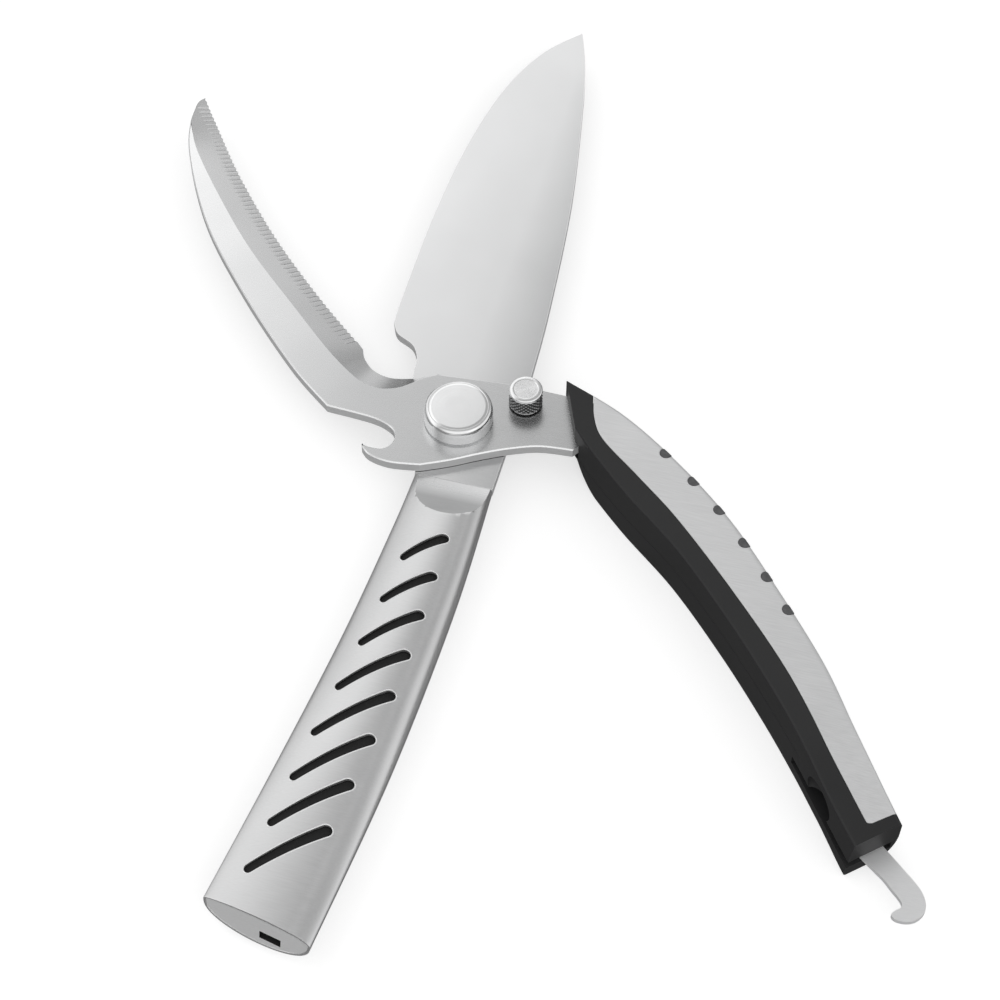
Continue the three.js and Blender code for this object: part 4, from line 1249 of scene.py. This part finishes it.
def plunger_spring():
    low, high = levels("plunger_spring")
    turns, steps, wire = 4, 160, 0.2
    path = [(*around(PLUNGER, 1.28, 2 * math.pi * turns * i / steps), lerp(low + wire, high - wire, i / steps))
            for i in range(steps + 1)]
    return tube(path, wire, 10, closed=False)


piece(plunger_barrel(), "plunger_barrel", "cutting_arm", KNOB_STEEL)
spring = piece(plunger_spring(), "plunger_spring", "cutting_arm", SPRING_STEEL)
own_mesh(spring)
knob = piece(knurled_knob(), "lock_knob", "plunger", KNOB_STEEL, crease=20)
another_material(knob, KNURL_STEEL, lambda centre, normal: centre.z < KNOB_TOP - 0.75
                 and math.dist(centre.xy, PLUNGER) > KNOB_R - 0.4)
piece(plunger_pin(), "plunger_pin", "plunger", SPRING_STEEL)


# ---------------------------------------------------------------- latch

def latch_hook():
    outer = [(110, -78.6), (112.6, -77.8), (115, -79.8), (118.1, -82.6), (122.7, -86.4), (126.8, -90),
             (128.5, -92.8), (128.7, -94.9), (127.9, -96.6), (126.6, -97.8), (124.8, -98.4), (122.9, -98.3)]
    inner = [(122, -97.4), (122.6, -96.4), (123.6, -95.4), (123.7, -94.4), (122.9, -93.3), (121, -91.6),
             (119.1, -89.8), (116.9, -88.2), (113.5, -85.7), (110.6, -83), (109.3, -80.8)]
    outline = spline([*outer, *inner, outer[0]], 240)[1:]
    body = cut(prism(outline, *LATCH_Z), rod(LATCH_PIVOT, 0, 20, 1.6, 48))
    return bevel(body, 0.22, 3, 50)


piece(latch_hook(), "latch_hook", "latch", HOOK_STEEL, crease=24)


# ---------------------------------------------------------------- floor, light, camera

def studio_floor():
    floor = bar((0, 0), 4000, 4000, -2, -0.02)
    floor.name = "studio_floor"
    floor.data.transform(Matrix.Scale(MM, 4))
    n = Nodes("studio floor")
    fine = n.noise(n.place, 60, 2, 0.5)
    floor.data.materials.append(n.set(
        Base_Color=n.shade(fine, (0.55, 0.55, 0.55), (0.57, 0.57, 0.57)), Roughness=0.85,
        Emission_Color=(1, 1, 1, 1), Emission_Strength=0.62, Specular_IOR_Level=0.1))
    floor.visible_glossy = False


def studio_world():
    """A large softbox behind and to the left, fading to a dimmer room towards the right and the front."""
    world = bpy.data.worlds.new("studio")
    bpy.context.scene.world = world
    world.use_nodes = True
    tree = world.node_tree
    tree.nodes.clear()
    output = tree.nodes.new("ShaderNodeOutputWorld")
    background = tree.nodes.new("ShaderNodeBackground")
    tree.links.new(background.outputs[0], output.inputs[0])
    place = tree.nodes.new("ShaderNodeTexCoord")

    def facing(direction):
        dot = tree.nodes.new("ShaderNodeVectorMath")
        dot.operation = "DOT_PRODUCT"
        dot.inputs[1].default_value = direction
        tree.links.new(place.outputs["Generated"], dot.inputs[0])
        return dot.outputs["Value"]

    def ramp(value, low, high, to_low, to_high):
        node = tree.nodes.new("ShaderNodeMapRange")
        node.interpolation_type = "SMOOTHSTEP"
        for name, v in (("From Min", low), ("From Max", high), ("To Min", to_low), ("To Max", to_high)):
            node.inputs[name].default_value = v
        tree.links.new(value, node.inputs["Value"])
        return node.outputs[0]

    def join(operation, a, b):
        node = tree.nodes.new("ShaderNodeMath")
        node.operation = operation
        tree.links.new(a, node.inputs[0])
        tree.links.new(b, node.inputs[1])
        return node.outputs[0]

    side = facing((-0.89, 0.45, 0))
    softbox = join("MULTIPLY", ramp(side, 0.34, 0.5, 0.38, 1.14), ramp(side, 0.62, 0.82, 1.0, 0.68))
    behind = ramp(facing((0.25, -0.75, 0.6)), 0.5, 0.93, 0.0, 0.55)
    right = ramp(facing((0.98, 0.1, 0.12)), 0.45, 0.95, 0.0, 0.5)
    height = facing((0, 0, 1))
    room = join("MULTIPLY", softbox, ramp(height, 0.0, 0.34, 0.26, 1.0))
    light = join("ADD", join("ADD", room, behind), right)
    above = ramp(height, -0.06, 0.0, 0.0, 1.0)
    under = join("MULTIPLY", ramp(height, -0.06, 0.0, 1.0, 0.0), ramp(height, -0.6, 0.0, 0.12, 0.3))
    tree.links.new(join("ADD", join("MULTIPLY", light, above), under), background.inputs["Strength"])
    background.inputs["Color"].default_value = (1, 1, 1, 1)


def aimed(name, data, spot, way):
    """A light or camera at a place, looking along a direction."""
    obj = bpy.data.objects.new(name, data)
    bpy.context.scene.collection.objects.link(obj)
    obj.location = spot
    obj.rotation_mode = "QUATERNION"
    obj.rotation_quaternion = way.to_track_quat("-Z", "Y")
    return obj


def fill_light():
    data = bpy.data.lights.new("fill softbox", "AREA")
    data.shape = "RECTANGLE"
    data.size, data.size_y = 0.9, 0.6
    data.energy = 1.5
    spot = Vector((0.5, -0.7, 0.6))
    aimed("fill softbox", data, spot, -spot).visible_glossy = False


def studio_camera():
    azimuth, elevation, distance = math.radians(15.4), math.radians(54), 0.56
    target = Vector((0.01532, -0.01846, 0.0088))
    back = Vector((math.sin(azimuth) * math.cos(elevation), -math.cos(azimuth) * math.cos(elevation),
                   math.sin(elevation)))
    data = bpy.data.cameras.new("camera")
    data.lens = 86.3
    data.sensor_width = 36
    data.clip_start, data.clip_end = 0.01, 20
    bpy.context.scene.camera = aimed("camera", data, target + distance * back, -back)


studio_floor()
studio_world()
fill_light()
studio_camera()
bpy.context.scene.view_settings.view_transform = "Standard"
bpy.context.scene.view_settings.look = "None"
